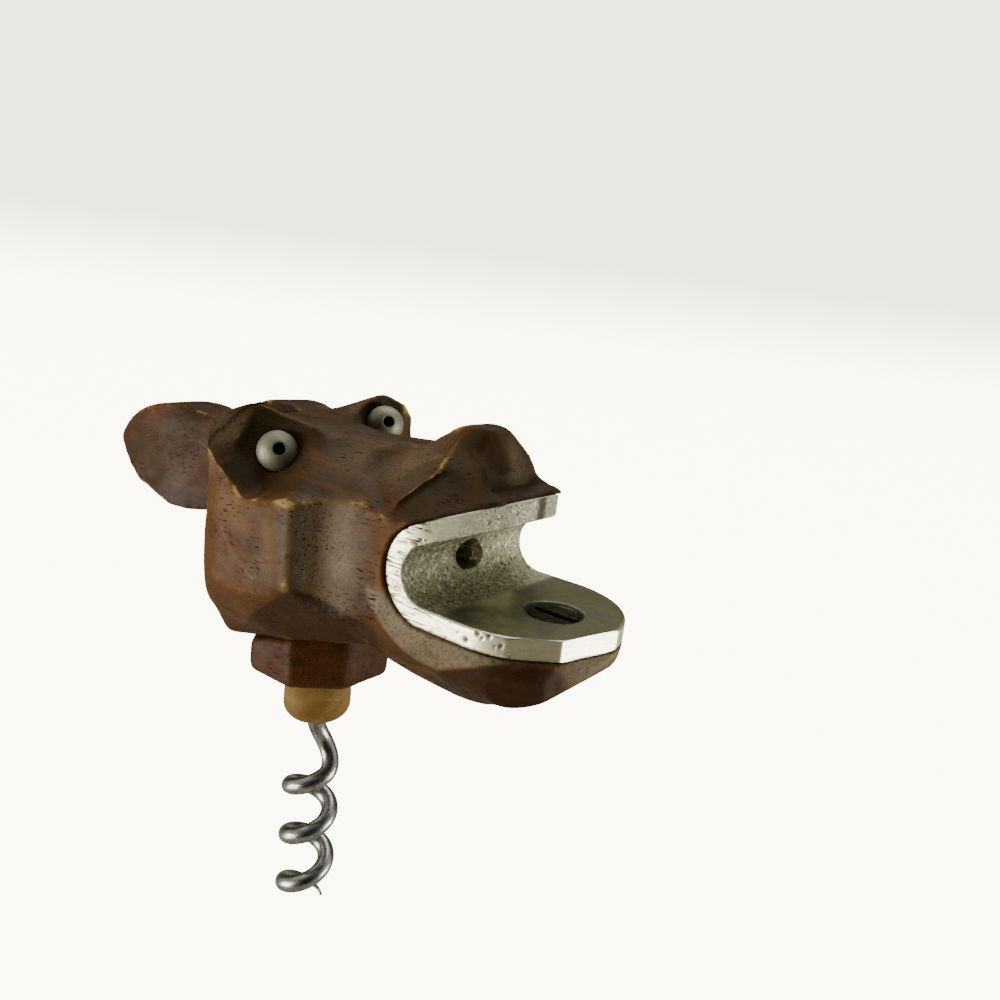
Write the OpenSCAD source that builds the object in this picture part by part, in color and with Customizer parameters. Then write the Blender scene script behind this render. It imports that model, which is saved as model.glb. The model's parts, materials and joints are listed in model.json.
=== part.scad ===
// Corkscrew and cap lifter in the shape of a carved animal's head.
// X runs forward to the snout, Y to the animal's left and Z up.
// The origin is on the worm's axis, at the tenon's shoulder under the neck.

/* [Worm] */
// Outer diameter of the coil
worm_d = 8.4; // [7:0.1:9]
// Diameter of the steel wire
wire_d = 2.5; // [2:0.1:2.8]
// Drop of the coil in one turn
worm_pitch = 8; // [7:0.1:11]
// Turns from the tenon to the point
worm_turns = 3.25; // [2:0.05:5]
// Length of the straight shank inside the tenon
shank_depth = 20; // [12:0.5:26]

/* [Tenon] */
// Diameter of the pale tenon
tenon_d = 9.4; // [9.2:0.1:12]
// Length that stands out under the neck
tenon_out = 8; // [6:0.5:12]
// Diameter of its thinner part, inside the neck and the head
seat_d = 8.4; // [7:0.1:9]
// Depth that goes into the head
tenon_seat = 16; // [8:0.5:18]
// Rounding of the tenon's end
tenon_round = 2.4; // [0.5:0.1:3]

/* [Neck] */
// Width of the eight-sided neck across its flats
neck_w = 18.5; // [16:0.5:20]
// Height of the neck on the worm's axis
neck_h = 6; // [5:0.5:10]
// Slope of the seat between the neck and the head
seat_slope = 15.5; // [0:0.5:18]

/* [Head] */
// Width of the head across the cheeks
head_w = 31; // [29:0.5:34]
// From the worm's axis back to the nape
nape_x = 12; // [11:0.5:14]
// Height of the left brow above the neck
brow_rise = 31.5; // [31:0.5:33]
// Height of the nose above the neck
nose_rise = 32.3; // [32:0.1:34]
// How much lower the right brow was carved
right_brow_drop = 1; // [0:0.1:1.5]
// Depth of wood in the lower jaw, under the liner
jaw_wood = 9.5; // [8:0.1:10.5]

/* [Mouth] */
// Width of the mouth and of the metal liner
mouth_w = 23; // [21:0.5:24]
// Height of the gap at the back of the mouth
mouth_gap = 6.9; // [6:0.1:8]
// Height of the mouth's floor above the neck
floor_rise = 13; // [12.5:0.1:14]
// From the worm's axis to the back of the mouth
throat_x = 23.4; // [22:0.1:25]
// Slope of the mouth's roof
roof_slope = 23; // [15:1:28]
// Thickness of the metal liner
liner_t = 2.5; // [1.8:0.1:2.8]
// From the worm's axis to the tip of the lower jaw
jaw_reach = 44; // [42:0.5:46]
// From the worm's axis to the tip of the upper lip
lip_reach = 33.1; // [32:0.1:35]

/* [Fixings] */
// Diameter of the jaw screw's head
screw_head_d = 6; // [5:0.1:6.6]
// Diameter of the jaw screw's shank
screw_d = 3; // [2.5:0.1:3.5]
// Length of the jaw screw
screw_len = 8; // [5:0.5:9]
// From the lower jaw's tip back to the jaw screw
screw_inset = 7.6; // [6:0.1:10]
// Diameter of the throat nail's domed head
nail_head_d = 4.2; // [3.5:0.1:5]
// Diameter of the throat nail's shank
nail_d = 2; // [1.5:0.1:2.5]
// Length of the throat nail under its head
nail_len = 11; // [8:0.5:12]

/* [Eyes] */
// Diameter of an eye bead
eye_d = 5.2; // [4.5:0.1:5.6]
// Diameter of the bead's hole
eye_hole_d = 1.8; // [1.5:0.1:2.2]
// From the cheek's face in to an eye's middle
eye_inset = 6.1; // [5.5:0.1:6.5]
// From the worm's axis back to the eyes' middles
eye_x = -0.4; // [-2:0.1:1]
// From the top of the brows down to the right eye
eye_drop = 6.7; // [5.5:0.1:7.5]
// How much higher the left eye was set by hand
left_eye_lift = 2.6; // [0:0.1:3]
// Turn of both eye holes to the animal's right
gaze_turn = 35; // [0:1:45]
// Upward tilt of both eye holes
gaze_lift = 18; // [0:1:30]
// Length of an eye pin
eye_pin_len = 7; // [6:0.5:8]

/* [Ears] */
// Length of an ear behind the nape
ear_len = 21; // [16:0.5:30]
// Height of an ear
ear_h = 14; // [10:0.5:16]
// Thickness of an ear
ear_t = 7; // [5:0.5:8]
// From the cheek's face in to an ear's middle, at the nape
ear_inset = 7.5; // [7:0.5:8.5]
// Height of the ears' middles above the neck
ear_rise = 21; // [18:0.5:22]
// Turn of an ear outwards
ear_splay = 8; // [0:1:15]
// Diameter of an ear's peg
ear_peg_d = 3.5; // [3:0.5:4]
// Depth of an ear's peg in the head
ear_peg_len = 5; // [3:0.5:6]

/* [Fits] */
// Gap all round a glued or driven piece
glue_gap = 0.05; // [0.02:0.01:0.1]
// Gap round the jaw screw's head in its countersink
screw_gap = 0.4; // [0.2:0.1:0.5]

/* [Hidden] */
$fn = 64;

wood = "saddlebrown";
pale_wood = "burlywood";
cast_metal = "silver";
dark_steel = "dimgray";
steel = "lightsteelblue";

head_z = neck_h;
far = 60;
cut = 0.1;
neck_sides = 8;
point_share = 0.25;

// Mouth: a round throat between a level floor and a rising roof
mouth_r = mouth_gap / 2;
floor_z = head_z + floor_rise;
throat = [throat_x + mouth_r, floor_z + mouth_r];
liner_r = mouth_r + liner_t;
jaw_z = floor_z - liner_t;
roof_back = throat + (liner_r + glue_gap) * [-sin(roof_slope), cos(roof_slope)];
function roof_z(x) = roof_back[1] + (x - roof_back[0]) * tan(roof_slope);

// Head outlines, as [x, z] seen from the right, [x, y] from above and [y, z] from the front
brow_z = head_z + brow_rise;
nose_z = head_z + nose_rise;
forehead_z = brow_z - 3.3;
chin_z = jaw_z - jaw_wood;
cheek_y = head_w / 2;
lip_y = mouth_w / 2;
skull_front_x = roof_back[0];
lip_wood_x = lip_reach - 1.2;
seat_back_x = -neck_w / 2;
function seat_z(x) = head_z + x * tan(seat_slope);
skull_side = [
    [-nape_x, seat_z(seat_back_x) + 6], [-nape_x, brow_z - 9.5], [-nape_x + 2.5, brow_z - 5.6],
    [-nape_x + 5.5, brow_z - 2.5], [-2.5, brow_z], [1, brow_z - 0.3], [3.2, brow_z - 2],
    [8, forehead_z + 0.1], [13, forehead_z], [skull_front_x - 1.8, forehead_z + 0.4],
    [skull_front_x - 4.1, roof_back[1] + 0.9], [skull_front_x, roof_back[1] + 0.5],
    [skull_front_x, seat_z(skull_front_x)], [seat_back_x, seat_z(seat_back_x)]
];
skull_half = [
    [-nape_x, 8.5], [-nape_x + 4.5, cheek_y - 1], [-nape_x + 8, cheek_y], [9.5, cheek_y],
    [13.5, lip_y + 1], [skull_front_x, lip_y]
];
skull_low = [[8.5, 0], [10.5, head_z + 1], [13, head_z + 3.5], [cheek_y, head_z + 8], [cheek_y, brow_z - 10]];
skull_crown = [
    [cheek_y - 0.3, -3.4], [cheek_y - 2, -1.4], [cheek_y - 4.5, 0], [cheek_y - 6, 0], [5, -2.2]
];
skull_end = concat(
    [for (p = skull_low) [-p[0], p[1]]],
    [for (p = skull_crown) [-p[0], brow_z - right_brow_drop + p[1]]],
    [for (i = [len(skull_crown) - 1 : -1 : 0]) [skull_crown[i][0], brow_z + skull_crown[i][1]]],
    [for (i = [len(skull_low) - 1 : -1 : 0]) skull_low[i]]
);
muzzle_side = [
    [8, forehead_z], [15, forehead_z + 0.2], [16.8, nose_z - 3.5], [20.6, nose_z - 1.2], [22.5, nose_z - 0.3],
    [24, nose_z], [25.7, nose_z - 0.1], [26.3, nose_z - 1.3], [26.8, nose_z - 2.7], [27.4, nose_z - 3.6],
    [28.4, nose_z - 5], [30, nose_z - 6.3], [lip_wood_x, roof_z(lip_wood_x)], roof_back, [8, roof_back[1]]
];
muzzle_half = [
    [lip_y, floor_z], [lip_y, nose_z - 9.9], [9.3, nose_z - 9], [6.6, nose_z - 7.2], [5.2, nose_z - 5.4],
    [4, nose_z - 2.7], [2.2, nose_z]
];
jaw_side = [
    [12, floor_z], [18, seat_z(18) - 0.5], [22.2, chin_z + 1.1], [25, chin_z + 0.4], [28, chin_z],
    [32.7, chin_z + 0.6], [35.2, chin_z + 2.2], [38, chin_z + 3.6], [41.9, chin_z + 6.4],
    [jaw_reach + 1, chin_z + 10.3], [jaw_reach + 1, floor_z]
];
jaw_half = [
    [lip_y, floor_z], [lip_y, jaw_z - 1.5], [lip_y - 0.9, jaw_z - 4.5], [8, chin_z + 2.4], [5.2, chin_z]
];

// Cheek flutes: upright gouge cuts behind the mouth, up into the forehead scoops
flute_r = 6.8;
flute_x = 15;
flute_depth = 3.1;
flute_z = head_z + 9;

// Forehead scoops: wide round hollows from the brows to the muzzle, each starting at its own x
scoop_r = 31.5;
scoop_middle = [12, -cheek_y - 9.5, brow_z + 19.5];
right_scoop_x = 4;
left_scoop_x = 0;

// Eye sockets: round hollows under the brows, given from the eye's middle to the hollow's
right_socket = [3.4, -8.6, 5.7];
right_socket_r = 10.6;
left_socket = [4.8, -1.3, 2.3];
left_socket_r = 6.5;

// Cheek undercuts: slanting facets from the flutes down to the neck
undercut_x = 10.3;
undercut_rise = 11.4;
undercut_tilt = 121;
undercut_turn = 74;

eye_r = eye_d / 2;
eye_y = cheek_y - eye_inset;
pin_recess = 1.1;

// Nail and screw
screw_x = jaw_reach - screw_inset;
screw_head_h = 1.7;
slot_w = 0.9;
slot_depth = 0.8;
screw_point = 2.5;
nail_head_h = 1.5;
nail_point = 2;
nail_head_r = (pow(nail_head_d / 2, 2) + pow(nail_head_h, 2)) / (2 * nail_head_h);

// Ears: leaves that are cut to the shape of the nape
ear_z = head_z + ear_rise;
ear_y = cheek_y - ear_inset;
ear_root = 10;
ear_steps = 200;
ear_half = (ear_len + ear_root) / 2;
ear_face_r = (pow(ear_half, 2) + pow(ear_h / 2, 2)) / ear_h;
ear_edge_r = (pow(ear_half, 2) + pow(ear_t / 2, 2)) / ear_t;

// Worm: the path of the wire's middle, from the shank's top down to the point
worm_r = (worm_d - wire_d) / 2;
worm_start = 158;
worm_lead = 0.45;
worm_drop = 4.7;
worm_taper = 0.45;
worm_tip_r = 0.25;
worm_steps = 28;
worm_sides = 10;
worm_top = -tenon_out;
shank_steps = 4;
ring_hint = [0.3, 1, 0.2];
coil_n = ceil(worm_turns * worm_steps);
function ease(t) = t <= 0 ? 0 : t >= 1 ? 1 : t * t * (3 - 2 * t);
function coil_point(u) = let (a = worm_start - 360 * u, r = worm_r * ease(u / worm_lead))
    [r * cos(a), r * sin(a), worm_top - worm_drop * ease(u / worm_lead) - worm_pitch * u];
function wire_r(u) = worm_tip_r + (wire_d / 2 - worm_tip_r) * ease((worm_turns - u) / worm_taper);
shank = [for (i = [0 : shank_steps - 1]) [0, 0, worm_top + shank_depth * (1 - i / shank_steps)]];
coil = [for (i = [0 : coil_n]) coil_point(worm_turns * i / coil_n)];
coil_r = [for (i = [0 : coil_n]) wire_r(worm_turns * i / coil_n)];
worm_path = concat(shank, coil);
worm_radii = concat([for (i = [0 : shank_steps - 1]) wire_d / 2], coil_r);

// Least gap between turns, on points at least half a turn apart along the coil
turn_gap = min([
    for (i = [0 : coil_n])
        for (j = [i + worm_steps / 2 : coil_n])
            norm(coil[i] - coil[j]) - coil_r[i] - coil_r[j]
]);
echo(worm_least_gap = turn_gap);

// Helpers

function mirrored(half) = concat(half, [for (i = [len(half) - 1 : -1 : 0]) [half[i][0], -half[i][1]]]);
function both_sides(half) = concat(half, [for (i = [len(half) - 1 : -1 : 0]) [-half[i][0], half[i][1]]]);
function unit(v) = v / norm(v);
function path_dir(p, i) = unit(p[min(i + 1, len(p) - 1)] - p[max(i - 1, 0)]);

// Draws a shape given as [x, z] right across the object
module across(width = 2 * far) {
    rotate([90, 0, 0]) linear_extrude(width, center = true) children();
}

// Draws a shape given as [y, z] along the object
module along() {
    translate([-far, 0, 0]) rotate([90, 0, 90]) linear_extrude(2 * far) children();
}

// Draws a shape given as [x, y] upwards between two heights
module upwards(z0, z1) {
    translate([0, 0, z0]) linear_extrude(z1 - z0) children();
}

// Puts a shape on the right side of the head, or mirrored on the left
module on_side(side) {
    if (side == "left") mirror([0, 1, 0]) children();
    else children();
}

// Puts a shape on an eye's middle
module eye_place(side) {
    y = side == "left" ? eye_y : -eye_y;
    lift = side == "left" ? left_eye_lift : 0;
    translate([eye_x, y, brow_z - eye_drop + lift]) children();
}

// Points a shape's Z axis along an eye's hole
module gaze(side) {
    eye_place(side) rotate([0, 90 - gaze_lift, -gaze_turn]) children();
}

// Sweeps a round tube along a path, with a radius for each point
module tube(path, radii, sides) {
    n = len(path);
    ring = [
        for (i = [0 : n - 1])
            let (d = path_dir(path, i), a = unit(cross(ring_hint, d)), b = cross(d, a))
                for (k = [0 : sides - 1])
                    path[i] + radii[i] * (cos(360 * k / sides) * a + sin(360 * k / sides) * b)
    ];
    walls = [
        for (i = [0 : n - 2])
            for (k = [0 : sides - 1])
                let (p = i * sides + k, q = i * sides + (k + 1) % sides)
                    each [[p, q, q + sides], [p, q + sides, p + sides]]
    ];
    start = [for (k = [1 : sides - 2]) [0, k + 1, k]];
    end = [for (k = [1 : sides - 2]) [(n - 1) * sides, (n - 1) * sides + k, (n - 1) * sides + k + 1]];
    polyhedron(ring, concat(walls, start, end));
}

// The mouth's side profile for a throat of the given radius
module mouth_shape(r) {
    turn = [cos(roof_slope), sin(roof_slope)];
    roof = r * [-turn[1], turn[0]];
    translate(throat) {
        circle(r);
        polygon([[0, 0], [0, -r], [far, -r], roof + far * turn, roof]);
    }
}

// A lip from above: straight sides and a round end
module lip_plan(reach) {
    translate([0, -lip_y]) square([reach - lip_y, mouth_w]);
    translate([reach - lip_y, 0]) circle(lip_y);
}

// Carved solids of the head

module skull_block() {
    intersection() {
        across() polygon(skull_side);
        upwards(0, far) polygon(mirrored(skull_half));
        along() polygon(skull_end);
    }
}

module skull() {
    difference() {
        skull_block();
        for (side = ["right", "left"]) on_side(side) {
            cheek_flute();
            cheek_undercut();
        }
        on_side("right") forehead_scoop(right_scoop_x);
        on_side("left") forehead_scoop(left_scoop_x);
        eye_place("right") translate(right_socket) sphere(right_socket_r);
        eye_place("left") translate(left_socket) sphere(left_socket_r);
    }
}

module cheek_flute() {
    translate([flute_x, -cheek_y + flute_depth - flute_r, flute_z]) cylinder(far, r = flute_r);
}

module cheek_undercut() {
    translate([undercut_x, -cheek_y, head_z + undercut_rise]) rotate([0, undercut_tilt, -undercut_turn])
        translate([-far / 2, -far / 2, 0]) cube(far);
}

module forehead_scoop(start) {
    intersection() {
        translate(scoop_middle) sphere(scoop_r);
        translate([start, -far, 0]) cube(2 * far);
    }
}

module muzzle() {
    intersection() {
        across() polygon(muzzle_side);
        upwards(0, far) lip_plan(lip_reach);
        along() polygon(both_sides(muzzle_half));
    }
}

module jaw() {
    intersection() {
        across() polygon(jaw_side);
        upwards(0, far) lip_plan(jaw_reach);
        along() polygon(both_sides(jaw_half));
    }
}

// Holes in the head for what is glued or driven into it

module head_holes() {
    translate([0, 0, -cut]) cylinder(head_z + tenon_seat + glue_gap + cut, d = seat_d + 2 * glue_gap);
    translate([screw_x, 0, floor_z - screw_len - glue_gap]) cylinder(screw_len, d = screw_d + 2 * glue_gap);
    translate([throat_x - nail_len - glue_gap, 0, throat[1]])
        rotate([0, 90, 0]) cylinder(nail_len, d = nail_d + 2 * glue_gap);
    for (side = ["right", "left"]) {
        gaze(side) {
            sphere(eye_r + glue_gap);
            translate([0, 0, eye_r - pin_recess - eye_pin_len - glue_gap])
                cylinder(eye_pin_len, d = eye_hole_d);
        }
        on_side(side) ear_place() translate([-cut, 0, 0]) rotate([0, 90, 0])
            cylinder(ear_peg_len + glue_gap + cut, d = ear_peg_d + 2 * glue_gap);
    }
}

// Puts an ear's root on the nape
module ear_place() {
    translate([-nape_x, -ear_y, ear_z]) children();
}

// Sub-parts

module head() {
    color(wood) difference() {
        union() {
            muzzle();
            difference() {
                union() {
                    skull();
                    jaw();
                }
                across() mouth_shape(liner_r + glue_gap);
            }
        }
        head_holes();
    }
}

module neck() {
    color(wood) difference() {
        intersection() {
            rotate([0, 0, 180 / neck_sides])
                cylinder(far, d = neck_w / cos(180 / neck_sides), $fn = neck_sides);
            across() polygon([[-far, -far], [far, -far], [far, seat_z(far)], [-far, seat_z(-far)]]);
        }
        translate([0, 0, -cut]) cylinder(far, d = seat_d + 2 * glue_gap);
    }
}

module tenon() {
    end_r = tenon_d / 2 - tenon_round;
    color(pale_wood) difference() {
        rotate_extrude() {
            translate([0, -tenon_out]) square([end_r, tenon_out]);
            translate([0, tenon_round - tenon_out]) square([tenon_d / 2, tenon_out - tenon_round]);
            intersection() {
                translate([end_r, tenon_round - tenon_out]) circle(tenon_round);
                translate([end_r, -tenon_out]) square(tenon_round);
            }
            square([seat_d / 2, head_z + tenon_seat]);
        }
        translate([0, 0, -tenon_out - cut]) cylinder(shank_depth + glue_gap + cut, d = wire_d + 2 * glue_gap);
    }
}

module worm() {
    color(steel) tube(worm_path, worm_radii, worm_sides);
}

module mouth_liner() {
    color(cast_metal) difference() {
        intersection() {
            across() mouth_shape(liner_r);
            union() {
                upwards(0, throat[1]) lip_plan(jaw_reach);
                upwards(throat[1], far) lip_plan(lip_reach);
            }
        }
        across() mouth_shape(mouth_r);
        jaw_screw_cut();
        translate([throat_x - liner_t - cut, 0, throat[1]])
            rotate([0, 90, 0]) cylinder(liner_t + 2 * cut, d = nail_d + 2 * glue_gap);
    }
}

// The countersunk hole in the liner's floor
module jaw_screw_cut() {
    translate([screw_x, 0, floor_z - liner_t - cut]) cylinder(liner_t + 2 * cut, d = screw_d + 2 * glue_gap);
    sink_h = screw_head_h + screw_gap / 2;
    translate([screw_x, 0, floor_z - sink_h])
        cylinder(sink_h + cut, d1 = screw_d + 2 * glue_gap, d2 = screw_head_d + 2 * screw_gap);
}

module jaw_screw() {
    shank_z = floor_z - screw_len;
    color(dark_steel) difference() {
        union() {
            translate([screw_x, 0, floor_z - screw_head_h - screw_gap / 2])
                cylinder(screw_head_h, d1 = screw_d, d2 = screw_head_d);
            translate([screw_x, 0, shank_z + screw_point])
                cylinder(screw_len - screw_point - screw_gap, d = screw_d);
            translate([screw_x, 0, shank_z]) cylinder(screw_point, d1 = screw_d * point_share, d2 = screw_d);
        }
        translate([screw_x - far / 2, -slot_w / 2, floor_z - screw_gap / 2 - slot_depth])
            cube([far, slot_w, far]);
    }
}

module throat_nail() {
    color(dark_steel) translate([throat_x, 0, throat[1]]) rotate([0, 90, 0]) {
        intersection() {
            translate([0, 0, nail_head_h - nail_head_r]) sphere(nail_head_r);
            cylinder(nail_head_h, d = nail_head_d);
        }
        translate([0, 0, -nail_len + nail_point]) cylinder(nail_len - nail_point, d = nail_d);
        translate([0, 0, -nail_len]) cylinder(nail_point, d1 = nail_d * point_share, d2 = nail_d);
    }
}

module eye_bead(side) {
    color(cast_metal) gaze(side) difference() {
        sphere(eye_r);
        translate([0, 0, -eye_d]) cylinder(2 * eye_d, d = eye_hole_d);
    }
}

module eye_pin(side) {
    color(dark_steel) gaze(side)
        translate([0, 0, eye_r - pin_recess - eye_pin_len])
            cylinder(eye_pin_len, d = eye_hole_d - 2 * glue_gap);
}

// A leaf with round faces, whose root reaches into the head
module ear_leaf() {
    rotate([0, 0, ear_splay]) translate([ear_root - ear_half, 0, 0]) intersection() {
        intersection_for(s = [-1, 1]) translate([0, 0, s * (ear_face_r - ear_h / 2)])
            rotate([90, 0, 0]) cylinder(far, r = ear_face_r, center = true, $fn = ear_steps);
        intersection_for(s = [-1, 1]) translate([0, s * (ear_edge_r - ear_t / 2), 0])
            cylinder(far, r = ear_edge_r, center = true, $fn = ear_steps);
    }
}

module ear(side) {
    color(wood) {
        difference() {
            on_side(side) ear_place() ear_leaf();
            skull_block();
        }
        on_side(side) ear_place() rotate([0, 90, 0]) cylinder(ear_peg_len, d = ear_peg_d);
    }
}

module right_eye_bead() { eye_bead("right"); }
module left_eye_bead() { eye_bead("left"); }
module right_eye_pin() { eye_pin("right"); }
module left_eye_pin() { eye_pin("left"); }
module right_ear() { ear("right"); }
module left_ear() { ear("left"); }

head();
neck();
tenon();
worm();
mouth_liner();
jaw_screw();
throat_nail();
right_eye_bead();
left_eye_bead();
right_eye_pin();
left_eye_pin();
right_ear();
left_ear();
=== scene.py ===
"""Looks of the carved corkscrew: an animal's head in dark wood, a cast mouth liner and a steel worm."""

from __future__ import annotations

import json
import logging
import math
from dataclasses import dataclass, field
from enum import Enum

import bpy
import numpy as np
from mathutils import Matrix, Vector

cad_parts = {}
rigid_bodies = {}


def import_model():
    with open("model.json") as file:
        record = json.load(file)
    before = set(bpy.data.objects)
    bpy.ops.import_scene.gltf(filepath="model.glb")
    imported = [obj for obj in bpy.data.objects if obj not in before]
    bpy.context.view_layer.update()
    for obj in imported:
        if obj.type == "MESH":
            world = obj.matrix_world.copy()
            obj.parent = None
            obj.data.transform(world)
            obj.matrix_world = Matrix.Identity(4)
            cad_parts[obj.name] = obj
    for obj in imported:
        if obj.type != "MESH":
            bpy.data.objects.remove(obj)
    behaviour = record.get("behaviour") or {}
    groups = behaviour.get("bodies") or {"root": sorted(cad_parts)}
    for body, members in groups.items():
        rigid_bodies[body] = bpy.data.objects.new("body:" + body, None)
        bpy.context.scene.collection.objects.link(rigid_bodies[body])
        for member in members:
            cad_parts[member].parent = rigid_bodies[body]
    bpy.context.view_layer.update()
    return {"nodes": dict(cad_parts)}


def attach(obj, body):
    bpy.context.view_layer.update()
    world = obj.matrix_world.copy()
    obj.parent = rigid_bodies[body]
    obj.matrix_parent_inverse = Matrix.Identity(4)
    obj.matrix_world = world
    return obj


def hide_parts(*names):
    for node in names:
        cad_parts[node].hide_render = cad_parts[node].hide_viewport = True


LOG = logging.getLogger("corkscrew")
MM = 0.001
ROOT = "root"

Point = tuple[float, float, float]
Colour = tuple[float, float, float, float]
Curve = tuple[tuple[float, ...], tuple[float, ...]]
Feed = bpy.types.NodeSocket | float | tuple
SWELLS = 24


def paint(code: str) -> Colour:
    """Turn a six-digit colour code into a linear colour.

    Args:
        code: Red, green and blue as six hexadecimal digits.

    Returns:
        The colour with full alpha.
    """
    parts = [int(code[i:i + 2], 16) / 255 for i in (0, 2, 4)]
    linear = [c / 12.92 if c <= 0.04045 else ((c + 0.055) / 1.055) ** 2.4 for c in parts]
    return (linear[0], linear[1], linear[2], 1.0)


def ease(t: np.ndarray | float) -> np.ndarray:
    """Smooth step from 0 to 1."""
    t = np.clip(t, 0.0, 1.0)
    return t * t * (3 - 2 * t)


def ring_faces(rings: int, sides: int) -> list[tuple[int, ...]]:
    """Join rings of points with faces.

    Args:
        rings: How many rings lie in a row.
        sides: Number of points on each ring.

    Returns:
        Four point numbers per face.
    """
    faces = []
    for i in range(rings - 1):
        for j in range(sides):
            k = (j + 1) % sides
            faces.append((i * sides + j, i * sides + k, (i + 1) * sides + k, (i + 1) * sides + j))
    return faces


class Tint(Enum):
    """Named masks that the carved wood keeps per point; some of them lay painted shade and painted sheen."""

    EDGE = "edge"
    # Painted shade in hollows.
    HOLLOW_SHADE = "hollow"
    AMBER = "amber"
    # Painted shade on the facets that face down.
    RED = "under_shade"
    # Painted shade, and a dark mottle on the ears.
    DARK_AND_SHADE = "dark_and_shade"
    PALE = "pale"
    # Grey tone, and painted sheen and reflection.
    GREY_AND_SHEEN = "grey_and_sheen"


class Zone(Enum):
    """Named masks that the metal keeps per point."""

    EDGE = "edge"
    RIM = "rim"
    WALL = "wall"
    # Casting pits, and painted shade.
    PIT_AND_SHADE = "pit"
    FILED = "filed"
    SATIN = "satin"


@dataclass
class Skin:
    """A surface as plain arrays in millimetres, ready for carving.

    Args:
        points: One row per point.
        faces: One row of four point numbers per face; a triangle repeats its last point.
    """

    points: np.ndarray
    faces: np.ndarray
    masks: dict[str, np.ndarray] = field(default_factory=dict)

    @classmethod
    def from_node(cls, node: bpy.types.Object, cell: float) -> Skin:
        """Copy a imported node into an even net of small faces.

        Args:
            node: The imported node, which stays as it is.
            cell: Width of the new faces in millimetres.

        Returns:
            The new surface.
        """
        mesh = node.data.copy()
        mesh.transform(Matrix.Scale(1 / MM, 4))
        block = bpy.data.objects.new("block", mesh)
        bpy.context.scene.collection.objects.link(block)
        cells = block.modifiers.new("cells", "REMESH")
        cells.mode = "VOXEL"
        cells.voxel_size = cell
        graph = bpy.context.evaluated_depsgraph_get()
        made = bpy.data.meshes.new_from_object(block.evaluated_get(graph))
        points = np.empty(len(made.vertices) * 3)
        made.vertices.foreach_get("co", points)
        faces = np.array([tuple(f.vertices) if len(f.vertices) == 4 else (*f.vertices, f.vertices[-1])
                          for f in made.polygons])
        bpy.data.objects.remove(block)
        bpy.data.meshes.remove(made)
        bpy.data.meshes.remove(mesh)
        return cls(points.reshape(-1, 3), faces)

    @classmethod
    def turned(cls, profile: list[tuple[float, float]], sides: int) -> Skin:
        """Turn a profile round the Z axis, as on a lathe.

        Args:
            profile: Radius and height of each point, in order; the ends lie on the axis or meet.
            sides: Number of faces round the axis.

        Returns:
            The turned surface.
        """
        angles = np.arange(sides) * 2 * math.pi / sides
        rows = [np.c_[r * np.cos(angles), r * np.sin(angles), np.full(sides, z)] for r, z in profile]
        return cls(np.concatenate(rows), np.array(ring_faces(len(profile), sides)))

    @classmethod
    def swept(cls, path: np.ndarray, radii: np.ndarray, sides: int) -> Skin:
        """Sweep a round wire along a path.

        Args:
            path: Middle of the wire, one row per step.
            radii: Radius of the wire at each step.
            sides: Number of faces round the wire.

        Returns:
            The wire's surface, with both ends closed.
        """
        ahead = np.gradient(path, axis=0)
        ahead /= np.linalg.norm(ahead, axis=1)[:, None]
        across = np.cross(ahead[0], (0.3, 1.0, 0.2))
        angles = np.arange(sides) * 2 * math.pi / sides
        rows = []
        for middle, way, radius in zip(path, ahead, radii):
            across = across - way * (across @ way)
            across /= np.linalg.norm(across)
            upright = np.cross(way, across)
            ring = np.cos(angles)[:, None] * across + np.sin(angles)[:, None] * upright
            rows.append(middle + radius * ring)
        faces = ring_faces(len(rows), sides)
        points = np.concatenate(rows + [path[:1], path[-1:]])
        first, last, end = len(points) - 2, len(points) - 1, (len(rows) - 1) * sides
        for j in range(sides):
            k = (j + 1) % sides
            faces.append((first, k, j, j))
            faces.append((last, end + j, end + k, end + k))
        return cls(points, np.array(faces))

    def _links(self) -> tuple[np.ndarray, np.ndarray, np.ndarray]:
        """Both ends of every face edge, and how many each point has."""
        if not hasattr(self, "_linked"):
            ends = np.concatenate([self.faces[:, [i, (i + 1) % 4]] for i in range(4)])
            ends = np.unique(np.sort(ends[ends[:, 0] != ends[:, 1]], axis=1), axis=0)
            count = np.bincount(ends.ravel(), minlength=len(self.points))
            self._linked = (ends[:, 0], ends[:, 1], np.maximum(count, 1))
        return self._linked

    def around(self, values: np.ndarray) -> np.ndarray:
        """Mean of the values on each point's neighbours.

        Args:
            values: One row or number per point.

        Returns:
            The means, in the same shape.
        """
        first, second, count = self._links()
        size = len(self.points)
        flat = values.reshape(size, -1)
        total = [np.bincount(first, c[second], size) + np.bincount(second, c[first], size) for c in flat.T]
        return (np.array(total).T / count[:, None]).reshape(values.shape)

    def blurred(self, values: np.ndarray, rounds: int) -> np.ndarray:
        """Spread values over the surface.

        Args:
            values: One row or number per point.
            rounds: How many times each point takes half of its neighbours' mean.

        Returns:
            The spread values.
        """
        for _ in range(rounds):
            values = 0.5 * values + 0.5 * self.around(values)
        return values

    def soften(self, rounds: int, share: np.ndarray | float = 1.0) -> None:
        """Round the surface's edges, as sanding and handling do.

        Args:
            rounds: How much rounding.
            share: How far each point follows, from 0 to 1.
        """
        soft = self.blurred(self.points, rounds)
        weight = share[:, None] if isinstance(share, np.ndarray) else share
        self.points = self.points + (soft - self.points) * weight

    def normals(self) -> np.ndarray:
        """Outward direction at each point, one row each."""
        p = self.points[self.faces]
        n = np.cross(p[:, 2] - p[:, 0], p[:, 3] - p[:, 1])
        size = len(self.points)
        total = np.zeros((size, 3))
        for c in range(4):
            for k in range(3):
                total[:, k] += np.bincount(self.faces[:, c], n[:, k], size)
        return total / np.maximum(np.linalg.norm(total, axis=1), 1e-12)[:, None]

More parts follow.
